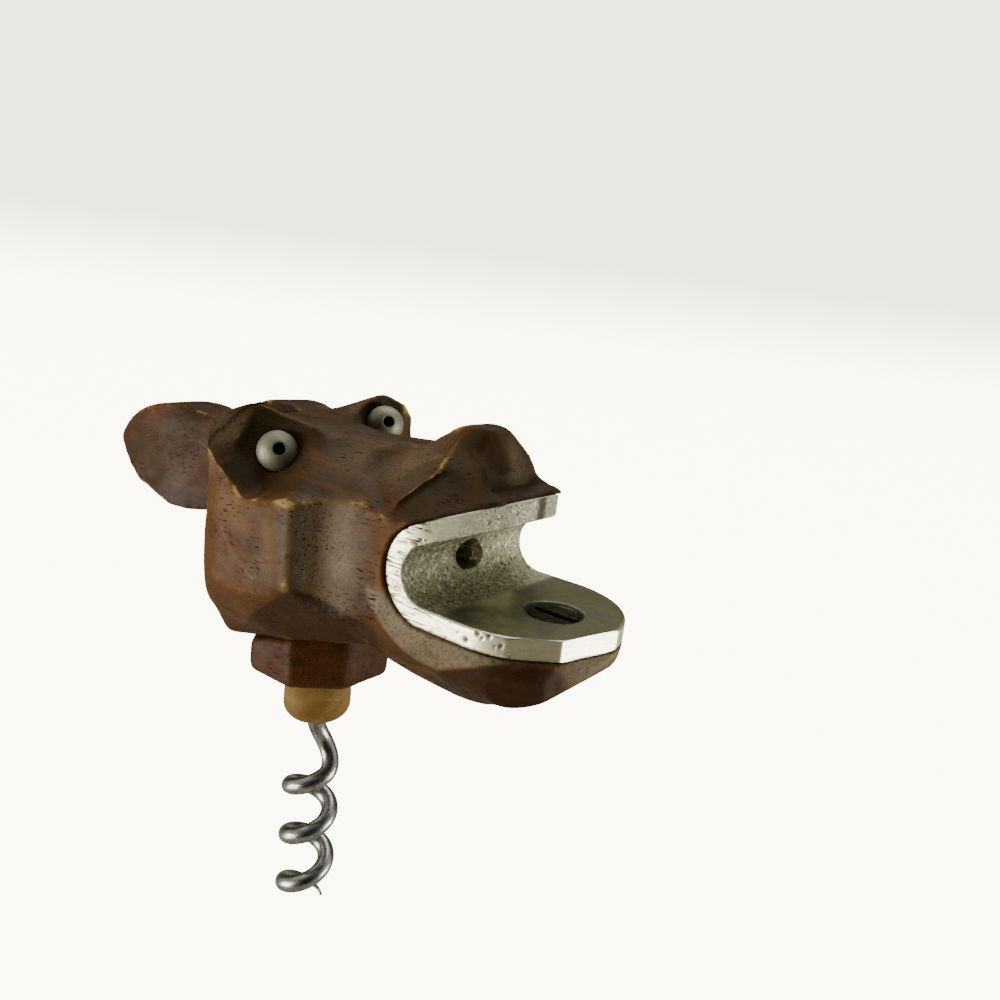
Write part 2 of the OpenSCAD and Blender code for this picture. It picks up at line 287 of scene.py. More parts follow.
    def pare(self, spot: np.ndarray, way: np.ndarray, reach: float, keep: np.ndarray) -> None:
        """Shave one soft-edged knife facet.

        Args:
            spot: A point on the facet's plane.
            way: The facet's outward direction.
            reach: How far from the spot the knife goes.
            keep: How much of each point is left alone, from 0 to 1.
        """
        way = way / np.linalg.norm(way)
        away = self.points - spot
        height = away @ way
        near = 1 - ease((np.linalg.norm(away, axis=1) - 0.6 * reach) / (0.4 * reach))
        cut = np.where(height > 0, height, 0) * near * (1 - keep)
        self.points = self.points - cut[:, None] * way

    def fill(self, spot: np.ndarray, way: np.ndarray, share: np.ndarray) -> None:
        """Bring what lies under a plane up to it.

        Args:
            spot: A point on the plane.
            way: The plane's outward direction.
            share: How far each point follows, from 0 to 1.
        """
        way = way / np.linalg.norm(way)
        depth = np.maximum((spot - self.points) @ way, 0) * share
        self.points = self.points + depth[:, None] * way

    def whittle(self, rng: np.random.Generator, count: int, reach: float, depth: float,
                tilt: float, keep: np.ndarray) -> None:
        """Shave many shallow facets at random places.

        Args:
            rng: Seeded source of the places.
            count: How many facets.
            reach: How far a facet goes from its middle.
            depth: How deep a facet cuts at its middle.
            tilt: How far a facet may lean off the surface.
            keep: How much of each point is left alone, from 0 to 1.
        """
        smooth = self.blurred(self.normals(), 12)
        for i in rng.choice(len(self.points), count, replace=False):
            way = smooth[i] / np.linalg.norm(smooth[i]) + rng.normal(0, tilt, 3)
            way /= np.linalg.norm(way)
            facing = np.clip(smooth @ way * 2 - 0.6, 0, 1)
            wide = reach * rng.uniform(0.7, 1.2)
            self.pare(self.points[i] - depth * way, way, wide, 1 - (1 - keep) * facing)

    def swell(self, amount: np.ndarray) -> None:
        """Push each point out along its direction by its own amount in millimetres."""
        self.points = self.points + self.normals() * amount[:, None]

    def bend_of_surface(self, rounds: int) -> np.ndarray:
        """How far each point stands out of its surroundings, in millimetres; hollows are negative."""
        return np.einsum("ij,ij->i", self.points - self.blurred(self.points, rounds), self.normals())

    def mark(self, name: Tint | Zone, values: np.ndarray) -> None:
        """Add to a mask, which keeps the larger value at each point."""
        self.masks[name.value] = np.maximum(self.masks.get(name.value, 0.0), values)

    def as_object(self, name: str, material: bpy.types.Material) -> bpy.types.Object:
        """Make the surface into an object of the scene.

        Args:
            name: The object's name.
            material: Its finish.

        Returns:
            The object, in metres.
        """
        mesh = bpy.data.meshes.new(name)
        faces = [tuple(dict.fromkeys(int(i) for i in f)) for f in self.faces]
        mesh.from_pydata((self.points * MM).tolist(), [], faces)
        mesh.validate()
        mesh.shade_smooth()
        for key, values in self.masks.items():
            layer = mesh.attributes.new(key, "FLOAT", "POINT")
            layer.data.foreach_set("value", np.clip(values, 0, 1).astype(np.float32))
        mesh.materials.append(material)
        made = bpy.data.objects.new(name, mesh)
        bpy.context.scene.collection.objects.link(made)
        return made


def bumps(points: np.ndarray, size: float, seed: int) -> np.ndarray:
    """Smooth random values in space.

    Args:
        points: One row per point, in millimetres.
        size: Width of one swell in millimetres.
        seed: Which set of swells.

    Returns:
        Values of about -1 to 1.
    """
    rng = np.random.default_rng(seed)
    total = np.zeros(len(points))
    for _ in range(SWELLS):
        way = rng.normal(size=3)
        way *= rng.uniform(0.6, 1.4) * 2 * math.pi / (size * 2 * np.linalg.norm(way))
        total += np.sin(points @ way + rng.uniform(0, 2 * math.pi))
    return total / math.sqrt(SWELLS)


class Shading:
    """Short calls that add nodes to a tree.

    Args:
        tree: The material's or the group's node tree.
    """

    def __init__(self, tree: bpy.types.NodeTree) -> None:
        self.tree = tree

    def node(self, kind: str, **settings: object) -> bpy.types.Node:
        """Add a node.

        Args:
            kind: Type name of the node.
            settings: Its options.

        Returns:
            The node.
        """
        made = self.tree.nodes.new(kind)
        for key, value in settings.items():
            setattr(made, key, value)
        return made

    def feed(self, socket: bpy.types.NodeSocket, value: Feed) -> None:
        """Link a socket to another one, or set it."""
        if isinstance(value, bpy.types.NodeSocket):
            self.tree.links.new(value, socket)
        else:
            socket.default_value = value

    def math(self, operation: str, first: Feed, second: Feed = 0.0) -> bpy.types.NodeSocket:
        """Combine two values, kept from 0 to 1.

        Args:
            operation: Type name of the sum.
            first: The first value.
            second: The second value.

        Returns:
            The result's socket.
        """
        made = self.node("ShaderNodeMath", operation=operation, use_clamp=True)
        self.feed(made.inputs[0], first)
        self.feed(made.inputs[1], second)
        return made.outputs[0]

    def times(self, first: Feed, second: Feed) -> bpy.types.NodeSocket:
        """Multiply two values, kept from 0 to 1."""
        return self.math("MULTIPLY", first, second)

    def mix(self, share: Feed, first: Feed, second: Feed) -> bpy.types.NodeSocket:
        """Mix two colours.

        Args:
            share: How much of the second.
            first: The first colour.
            second: The second colour.

        Returns:
            The mixed colour's socket.
        """
        made = self.node("ShaderNodeMix", data_type="RGBA")
        self.feed(made.inputs[0], share)
        self.feed(made.inputs[6], first)
        self.feed(made.inputs[7], second)
        return made.outputs[2]

    def coat(self, tone: Feed, colour: str, mask: Feed, share: Feed = 1.0) -> bpy.types.NodeSocket:
        """Lay a colour code over a tone, where the mask is and as strongly as its share."""
        return self.mix(self.times(mask, share), tone, paint(colour))

    def span(self, value: Feed, low: Feed, high: Feed, to_low: float = 0.0,
             to_high: float = 1.0) -> bpy.types.NodeSocket:
        """Map a range of values onto another, with soft ends.

        Args:
            value: The value to map.
            low: Where the range starts.
            high: Where the range ends.
            to_low: What the start becomes.
            to_high: What the end becomes.

        Returns:
            The mapped value's socket.
        """
        made = self.node("ShaderNodeMapRange", interpolation_type="SMOOTHSTEP")
        for socket, item in zip(made.inputs[:5], (value, low, high, to_low, to_high)):
            self.feed(socket, item)
        return made.outputs[0]

    def noise(self, place: Feed, scale: float, detail: float = 2.0, rough: float = 0.5,
              warp: float = 0.0) -> bpy.types.NodeSocket:
        """Cloudy values.

        Args:
            place: The coordinates.
            scale: Clouds per unit.
            detail: How many finer layers.
            rough: How strong the finer layers are.
            warp: How much the clouds are twisted.

        Returns:
            The value's socket.
        """
        made = self.node("ShaderNodeTexNoise")
        self.feed(made.inputs["Vector"], place)
        for key, item in (("Scale", scale), ("Detail", detail), ("Roughness", rough), ("Distortion", warp)):
            self.feed(made.inputs[key], item)
        return made.outputs[0]

    def stretch(self, place: Feed, scale: Point, turn: Point = (0.0, 0.0, 0.0)) -> bpy.types.NodeSocket:
        """Turn and scale coordinates.

        Args:
            place: The coordinates.
            scale: Factor along each axis.
            turn: Angle round each axis in radians.

        Returns:
            The new coordinates' socket.
        """
        made = self.node("ShaderNodeMapping")
        self.feed(made.inputs["Vector"], place)
        made.inputs["Rotation"].default_value = turn
        made.inputs["Scale"].default_value = scale
        return made.outputs[0]

    def here(self) -> bpy.types.NodeSocket:
        """Coordinates in the object's own frame."""
        return self.node("ShaderNodeTexCoord").outputs["Object"]

    def mask(self, name: Tint | Zone) -> bpy.types.NodeSocket:
        """A mask that the surface keeps per point."""
        return self.node("ShaderNodeAttribute", attribute_name=name.value).outputs["Fac"]

    def place(self, group: bpy.types.NodeTree, **values: Feed) -> bpy.types.Node:
        """Put a group into this tree.

        Args:
            group: The group's tree.
            values: Its inputs, by name with underscores for spaces.

        Returns:
            The group node.
        """
        made = self.node("ShaderNodeGroup", node_tree=group)
        for key, value in values.items():
            self.feed(made.inputs[key.replace("_", " ")], value)
        return made

    def bump(self, height: Feed, strength: float, depth: float) -> bpy.types.NodeSocket:
        """Small relief.

        Args:
            height: The relief's height, from 0 to 1.
            strength: How strong it looks.
            depth: Its depth in millimetres.

        Returns:
            The normal's socket.
        """
        made = self.node("ShaderNodeBump")
        made.inputs["Strength"].default_value = strength
        made.inputs["Distance"].default_value = depth * MM
        self.feed(made.inputs["Height"], height)
        return made.outputs[0]


class Effect:
    """A shader group with named sockets, made once.

    Args:
        name: The group's name.
        inputs: Name and default of each input; a vector has no default.
        outputs: Names of the outputs.
    """

    def __init__(self, name: str, inputs: dict[str, float | None], outputs: list[str]) -> None:
        self.tree = bpy.data.node_groups.new(name, "ShaderNodeTree")
        for key, value in inputs.items():
            kind = "NodeSocketVector" if value is None else "NodeSocketFloat"
            socket = self.tree.interface.new_socket(key, in_out="INPUT", socket_type=kind)
            if value is not None:
                socket.default_value = value
        for key in outputs:
            self.tree.interface.new_socket(key, in_out="OUTPUT", socket_type="NodeSocketFloat")
        self.shade = Shading(self.tree)
        self.source = self.shade.node("NodeGroupInput").outputs
        self.result = self.shade.node("NodeGroupOutput").inputs


def grain_effect() -> bpy.types.NodeTree:
    """Wood grain along X: wide streaks, fine fibres and short pores.

    Returns:
        The group's tree.
    """
    made = Effect("wood_grain", {"Vector": None, "Pores": 0.5}, ["Streak", "Fibre", "Pore"])
    s = made.shade
    place = made.source["Vector"]
    s.feed(made.result["Streak"], s.noise(s.stretch(place, (45, 420, 420)), 1.0, 3.0, 0.55, 0.6))
    s.feed(made.result["Fibre"], s.noise(s.stretch(place, (180, 3200, 3200)), 1.0, 2.0, 0.6))
    dash = s.noise(s.stretch(place, (800, 4800, 4800)), 1.0, 1.0, 0.4)
    patch = s.noise(place, 190.0, 2.0)
    marks = s.times(s.span(dash, 0.62, 0.69), s.span(patch, 0.38, 0.62))
    s.feed(made.result["Pore"], s.times(marks, made.source["Pores"]))
    return made.tree


def wear_effect() -> bpy.types.NodeTree:
    """Broken-up wear along edges.

    Returns:
        The group's tree.
    """
    made = Effect("edge_wear", {"Vector": None, "Edge": 0.0, "Amount": 0.5}, ["Worn", "Rubbed"])
    s = made.shade
    cloud = s.noise(made.source["Vector"], 420.0, 4.0, 0.65)
    pull = s.times(s.math("ADD", made.source["Edge"], s.span(cloud, 0.3, 0.75, -0.25, 0.25)),
                  made.source["Amount"])
    s.feed(made.result["Worn"], s.span(pull, 0.42, 0.62))
    s.feed(made.result["Rubbed"], s.span(pull, 0.12, 0.5))
    return made.tree


def speckle_effect() -> bpy.types.NodeTree:
    """Fine dark and bright specks.

    Returns:
        The group's tree.
    """
    made = Effect("speckle", {"Vector": None, "Size": 1.0, "Amount": 0.5}, ["Dark", "Bright", "Rough"])
    s = made.shade
    place = s.node("ShaderNodeVectorMath", operation="SCALE")
    s.feed(place.inputs[0], made.source["Vector"])
    s.feed(place.inputs["Scale"], made.source["Size"])
    fine = s.noise(place.outputs[0], 2600.0, 3.0, 0.7)
    other = s.noise(place.outputs[0], 1900.0, 2.0, 0.7, 0.8)
    s.feed(made.result["Dark"], s.times(s.span(fine, 0.53, 0.62), made.source["Amount"]))
    s.feed(made.result["Bright"], s.times(s.span(other, 0.54, 0.63), made.source["Amount"]))
    s.feed(made.result["Rough"], fine)
    return made.tree


def scratch_effect() -> bpy.types.NodeTree:
    """Thin straight scratches in two leanings.

    Returns:
        The group's tree.
    """
    made = Effect("scratches", {"Vector": None, "Amount": 0.5}, ["Scratch"])
    s = made.shade
    lines = []
    for turn in (0.35, -0.5):
        thin = s.noise(s.stretch(made.source["Vector"], (240, 5200, 5200), (0.2, turn, turn)), 1.0, 1.0, 0.4)
        lines.append(s.span(thin, 0.70, 0.75))
    both = s.math("MAXIMUM", lines[0], lines[1])
    s.feed(made.result["Scratch"], s.times(both, made.source["Amount"]))
    return made.tree


@dataclass(frozen=True)
class Effects:
    """The shared shader groups."""

    grain: bpy.types.NodeTree
    wear: bpy.types.NodeTree
    speckle: bpy.types.NodeTree
    scratch: bpy.types.NodeTree

    @classmethod
    def made(cls) -> Effects:
        """Build every group once."""
        return cls(grain_effect(), wear_effect(), speckle_effect(), scratch_effect())


def blank(name: str) -> tuple[bpy.types.Material, Shading, bpy.types.Node]:
    """Start a material.

    Args:
        name: The material's name.

    Returns:
        The material, its tree's short calls, and its surface shader.
    """
    material = bpy.data.materials.new(name)
    material.use_nodes = True
    shade = Shading(material.node_tree)
    return material, shade, material.node_tree.nodes["Principled BSDF"]


@dataclass(frozen=True)
class CarvedWood:
    """Dark stained wood with worn edges and an old semi-gloss finish; its masks also lay painted shade and
    painted sheen.
    """

    name: str
    body: str = "543516"
    deep: str = "38230e"
    amber: str = "63390b"
    # Painted shade for the facets that face down.
    under_shade: str = "301709"
    # Painted shade in the sockets, on the muzzle and in hollows, and a dark mottle on the ears.
    dark_and_shade: str = "352915"
    pale: str = "8a673a"
    # Grey tone, and painted sheen and reflection.
    grey_and_sheen: str = "7b6f5a"
    worn: str = "b8975f"
    gouged: str = "a3957b"
    pore: str = "170e07"
    pores: float = 0.9
    wear: float = 0.8
    gloss: float = 0.46
    shine: float = 0.1

    def material(self, effects: Effects) -> bpy.types.Material:
        """Build the finish.

        Args:
            effects: The shared shader groups.

        Returns:
            The material.
        """
        material, s, shader = blank(self.name)
        place = s.here()
        grain = s.place(effects.grain, Vector=place, Pores=self.pores)
        wear = s.place(effects.wear, Vector=place, Edge=s.mask(Tint.EDGE), Amount=self.wear)
        speck = s.place(effects.speckle, Vector=place, Size=0.9, Amount=0.8)
        strokes = s.span(s.noise(s.stretch(place, (2500, 2500, 520)), 1.0, 3.0, 0.6), 0.5, 0.75)
        cloud = s.noise(place, 130.0, 4.0, 0.6, 0.4)
        tone = s.mix(s.span(grain.outputs["Streak"], 0.3, 0.7), paint(self.deep), paint(self.body))
        tone = s.coat(tone, self.amber, s.span(cloud, 0.45, 0.75), 0.35)
        tone = s.coat(tone, self.deep, s.span(grain.outputs["Fibre"], 0.35, 0.75), 0.3)
        patchy = s.span(s.noise(place, 260.0, 4.0, 0.65), 0.2, 0.6, 0.45, 1.0)
        # Among these coats the grey one also lays painted sheen and reflection, and the dark red one lays
        # painted shade on the facets that face down.
        coats = {Tint.AMBER: self.amber, Tint.PALE: self.pale, Tint.GREY_AND_SHEEN: self.grey_and_sheen, Tint.RED: self.under_shade}
        for tint, colour in coats.items():
            tone = s.coat(tone, colour, s.mask(tint), patchy)
        tone = s.coat(tone, self.gouged, s.mask(Tint.GREY_AND_SHEEN), s.times(strokes, 0.3))
        # Painted shade in the sockets, on the muzzle and under the facets, and a darker patch on top of the
        # head; on the ears this dark coat is a mottle of the wood.
        tone = s.coat(tone, self.dark_and_shade, s.mask(Tint.DARK_AND_SHADE))
        # Painted shade in hollows.
        tone = s.coat(tone, self.dark_and_shade, s.mask(Tint.HOLLOW_SHADE), 0.55)
        tone = s.coat(tone, self.pale, wear.outputs["Rubbed"], 0.35)
        tone = s.coat(tone, self.worn, wear.outputs["Worn"], 0.7)
        dusty = s.span(s.math("ADD", s.mask(Tint.GREY_AND_SHEEN), s.mask(Tint.PALE)), 0.1, 0.9, 0.1, 0.6)
        tone = s.coat(tone, self.deep, speck.outputs["Dark"], dusty)
        tone = s.coat(tone, self.pore, grain.outputs["Pore"])
        s.feed(shader.inputs["Base Color"], tone)
        dull = s.span(s.noise(place, 350.0, 5.0, 0.65), 0.3, 0.7, self.gloss - 0.07, self.gloss + 0.12)
        dull = s.math("ADD", dull, s.times(s.mask(Tint.DARK_AND_SHADE), 0.15))
        s.feed(shader.inputs["Roughness"], s.math("ADD", dull, s.times(grain.outputs["Pore"], 0.3)))
        shader.inputs["Specular IOR Level"].default_value = self.shine
        relief = s.math("SUBTRACT", s.times(grain.outputs["Fibre"], 0.5),
                        s.times(grain.outputs["Pore"], 0.5))
        s.feed(shader.inputs["Normal"], s.bump(s.math("ADD", relief, 0.3), 0.5, 0.12))
        return material


@dataclass(frozen=True)
class CastMetal:
    """White cast metal: filed rim, sandy wall and smooth olive floor, with painted shade where the wood
    covers it and at the wall's top and foot.
    """

    name: str = "cast_white_metal"
    filed: str = "efe7c9"
    floor: str = "949270"
    wall: str = "b6b495"
    # Dark for casting pits and for painted shade.
    pit_and_shade_tone: str = "2a2a20"
    stain: str = "66665a"
    grit: str = "2f2e20"
    sparkle: str = "f2efdf"
    file_shade: str = "a19d88"
    nick: str = "4a4534"
    satin: str = "cdc8ae"
    spark: str = "fbf8ea"
    worn: str = "f4f1e2"
    scratch: str = "b9b6a4"

    def material(self, effects: Effects) -> bpy.types.Material:
        """Build the finish.

        Args:
            effects: The shared shader groups.

        Returns:
            The material.
        """
        material, s, shader = blank(self.name)
        place = s.here()
        rim = s.mask(Zone.RIM)
        wall = s.mask(Zone.WALL)
        pit = s.mask(Zone.PIT_AND_SHADE)
        sand = s.place(effects.speckle, Vector=place, Size=1.0, Amount=1.0)
        wear = s.place(effects.wear, Vector=place, Edge=s.mask(Zone.EDGE), Amount=0.9)
        lines = s.place(effects.scratch, Vector=place, Amount=1.0)
        stain = s.noise(place, 170.0, 4.0, 0.6)
        tone = s.mix(s.span(stain, 0.35, 0.7), paint(self.floor), paint(self.stain))
        sandy = s.mix(s.times(sand.outputs["Dark"], 0.8), paint(self.wall), paint(self.grit))
        sandy = s.coat(sandy, self.sparkle, sand.outputs["Bright"])
        tone = s.mix(wall, tone, sandy)
        file_marks = s.noise(s.stretch(place, (420, 420, 3600), (0.0, 0.25, 0.0)), 1.0, 2.0, 0.55)
        heavy = s.times(s.mask(Zone.FILED), s.span(s.noise(place, 700.0, 2.0), 0.32, 0.5))
        nicks = s.times(s.span(file_marks, 0.51, 0.57), heavy)
        filed = s.mix(s.times(s.span(file_marks, 0.6, 0.75), 0.3), paint(self.filed), paint(self.file_shade))
        filed = s.coat(filed, self.nick, nicks)
        dulled = s.times(s.mask(Zone.SATIN), s.span(s.noise(place, 420.0, 4.0, 0.65), 0.4, 0.62, 0.2, 0.9))
        filed = s.coat(filed, self.satin, dulled)
        sparks = s.times(s.mask(Zone.SATIN), sand.outputs["Bright"])
        filed = s.coat(filed, self.spark, sparks, 0.7)
        tone = s.mix(rim, tone, filed)
        tone = s.coat(tone, self.worn, wear.outputs["Worn"], 0.7)
        tone = s.coat(tone, self.scratch, lines.outputs["Scratch"], 0.3)
        # Casting pits, painted shade where the wood covers the liner and at the wall's top and foot, and
        # darker round the screw.
        tone = s.coat(tone, self.pit_and_shade_tone, pit)
        s.feed(shader.inputs["Base Color"], tone)
        s.feed(shader.inputs["Metallic"], s.span(s.mask(Zone.SATIN), 0.0, 1.0, 1.0, 0.4))
        rough = s.math("ADD", s.times(wall, 0.1), s.span(stain, 0.3, 0.7, 0.3, 0.42))
        rough = s.math("ADD", rough, s.times(pit, 0.4))
        s.feed(shader.inputs["Roughness"], rough)
        height = s.math("ADD", s.times(s.times(sand.outputs["Rough"], wall), 1.6),
                        s.times(s.times(file_marks, rim), 0.12))
        height = s.math("SUBTRACT", height, s.times(nicks, 0.3))
        height = s.math("SUBTRACT", height, s.times(lines.outputs["Scratch"], 0.1))
        s.feed(shader.inputs["Normal"], s.bump(height, 0.8, 0.25))
        return material


@dataclass(frozen=True)
class OldMetal:
    """A small metal piece with a tarnished body, bright specks and worn edges."""

    name: str
    body: str
    stain: str
    bright: str
    rough: float
    specks: float
    relief: float
    metal: float = 1.0

    def material(self, effects: Effects) -> bpy.types.Material:
        """Build the finish.

        Args:
            effects: The shared shader groups.

        Returns:
            The material.
        """
        material, s, shader = blank(self.name)
        place = s.here()
        sand = s.place(effects.speckle, Vector=place, Size=1.3, Amount=self.specks)
        wear = s.place(effects.wear, Vector=place, Edge=s.mask(Zone.EDGE), Amount=0.8)
        cloud = s.noise(place, 700.0, 4.0, 0.6)
        tone = s.mix(s.span(cloud, 0.35, 0.7), paint(self.body), paint(self.stain))
        tone = s.coat(tone, self.stain, sand.outputs["Dark"])
        tone = s.coat(tone, self.bright, sand.outputs["Bright"])
        tone = s.coat(tone, self.bright, wear.outputs["Rubbed"], 0.6)
        s.feed(shader.inputs["Base Color"], tone)
        shader.inputs["Metallic"].default_value = self.metal
        s.feed(shader.inputs["Roughness"], s.span(cloud, 0.3, 0.7, self.rough - 0.06, self.rough + 0.1))
        s.feed(shader.inputs["Normal"], s.bump(sand.outputs["Rough"], self.relief, 0.15))
        return material


def dressed(made: bpy.types.Object, node: str, slot: str) -> None:
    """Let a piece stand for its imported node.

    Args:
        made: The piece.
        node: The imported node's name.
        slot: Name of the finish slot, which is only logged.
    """
    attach(made, ROOT)
    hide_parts(node)
    LOG.info("%s: %d points, finish %s", made.name, len(made.data.vertices), slot)


@dataclass(frozen=True)
class MouthBed:
    """The surface in which the wood holds the mouth liner."""

    throat: tuple[float, float] = (26.85, 22.45)
    liner_r: float = 5.95
    roof_slope: float = math.radians(23)
    lip: float = 0.7

    def distance(self, points: np.ndarray) -> np.ndarray:
        """Distance from the bed.

        Args:
            points: One row per point, in millimetres.

        Returns:
            Distance in millimetres.
        """
        x = points[:, 0] - self.throat[0]
        z = points[:, 2] - self.throat[1]
        lean = (math.cos(self.roof_slope), math.sin(self.roof_slope))
        along = x * lean[0] + z * lean[1]
        above = np.abs(z * lean[0] - x * lean[1] - self.liner_r)
        below = np.abs(z + self.liner_r)
        round_back = np.abs(np.hypot(x, z) - self.liner_r)
        ahead = np.minimum(np.where(along > 0, above, 99), np.where(x > 0, below, 99))
        return np.minimum(ahead, np.where((x < 0) | (along < 0), round_back, 99))

    def seat(self, skin: Skin) -> None:
        """Bring the wood over the roof down on the liner.

        Args:
            skin: The head's surface.
        """
        x = skin.points[:, 0] - self.throat[0]
        z = skin.points[:, 2] - self.throat[1]
        lean = (math.cos(self.roof_slope), math.sin(self.roof_slope))
        over = z * lean[0] - x * lean[1] - self.liner_r
        ahead = ease((x * lean[0] + z * lean[1]) / 1.5) * (over > -0.2)
        drop = np.clip(over, 0, 0.4) * (1 - ease((over - 0.35) / 0.8)) * ahead
        roof = np.array((-lean[1], 0.0, lean[0]))
        near = ((1 - ease((over - 0.5) / 0.9)) * ahead)[:, None]
        even = skin.blurred(skin.points, 14) - skin.points
        skin.points += near * (even - (even @ roof)[:, None] * roof) - drop[:, None] * roof
        out = skin.blurred(skin.normals(), 9)
        skin.points += self.lip * near * (out - (out @ roof)[:, None] * roof)


@dataclass(frozen=True)
class Patch:
    """A soft patch of colour on the wood, the same on both sides of the head."""

    tint: Tint
    middle: Point
    size: Point
    strength: float = 1.0

    def spread(self, points: np.ndarray) -> np.ndarray:
        """Strength of the patch at each point.

        Args:
            points: One row per point, in millimetres.

        Returns:
            Values from 0 to 1.
        """
        mirrored = points * (1, 0, 1) - np.abs(points) * (0, 1, 0)
        away = (mirrored - self.middle) / self.size
        return self.strength * np.exp(-np.einsum("ij,ij->i", away, away))


HEAD_PATCHES = (
    Patch(Tint.AMBER, (-9, -12, 20), (4, 4, 11), 0.95),
    Patch(Tint.AMBER, (20.5, -11.5, 22), (1.6, 3, 8), 0.9),
    Patch(Tint.AMBER, (20.5, -10.5, 29), (1.5, 2, 1.6), 0.8),
    Patch(Tint.AMBER, (2.5, -15, 26.6), (4, 2, 1.4), 0.9),
    Patch(Tint.AMBER, (-3, -15.5, 18), (6, 3, 6), 0.5),
    # Painted sheen on the flute.
    Patch(Tint.GREY_AND_SHEEN, (14.6, -13, 22), (3, 2, 7), 0.95),
    # Painted grey sheen on the forehead, here and in the next patch.
    Patch(Tint.GREY_AND_SHEEN, (12, -7, 32), (8, 5, 3), 0.45),
    Patch(Tint.GREY_AND_SHEEN, (18, -6, 33.5), (4, 5, 4), 0.5),
    # Painted light on the back of the brow, which stands in shade.
    Patch(Tint.PALE, (-6, -13, 33), (2, 4, 4), 0.95),
    Patch(Tint.PALE, (-0.5, -15.5, 24.2), (4.5, 2, 2), 0.45),
    Patch(Tint.PALE, (6, -15.5, 22), (1.6, 2, 4), 0.4),
    # Painted light on the back of the brow, which stands in shade.
    Patch(Tint.GREY_AND_SHEEN, (-5.8, -13, 32.8), (1.8, 4, 4), 0.95),
    # Painted reflection on the front of the jaw.
    Patch(Tint.GREY_AND_SHEEN, (43.5, -2, 15), (2.2, 9, 3.5), 1.0),
    # Painted light on the flute, where it lies in shade.
    Patch(Tint.GREY_AND_SHEEN, (10.3, -14.5, 22), (1.6, 2, 7), 0.75),
    Patch(Tint.DARK_AND_SHADE, (6, 0, 35), (7, 6, 2), 0.5),
)


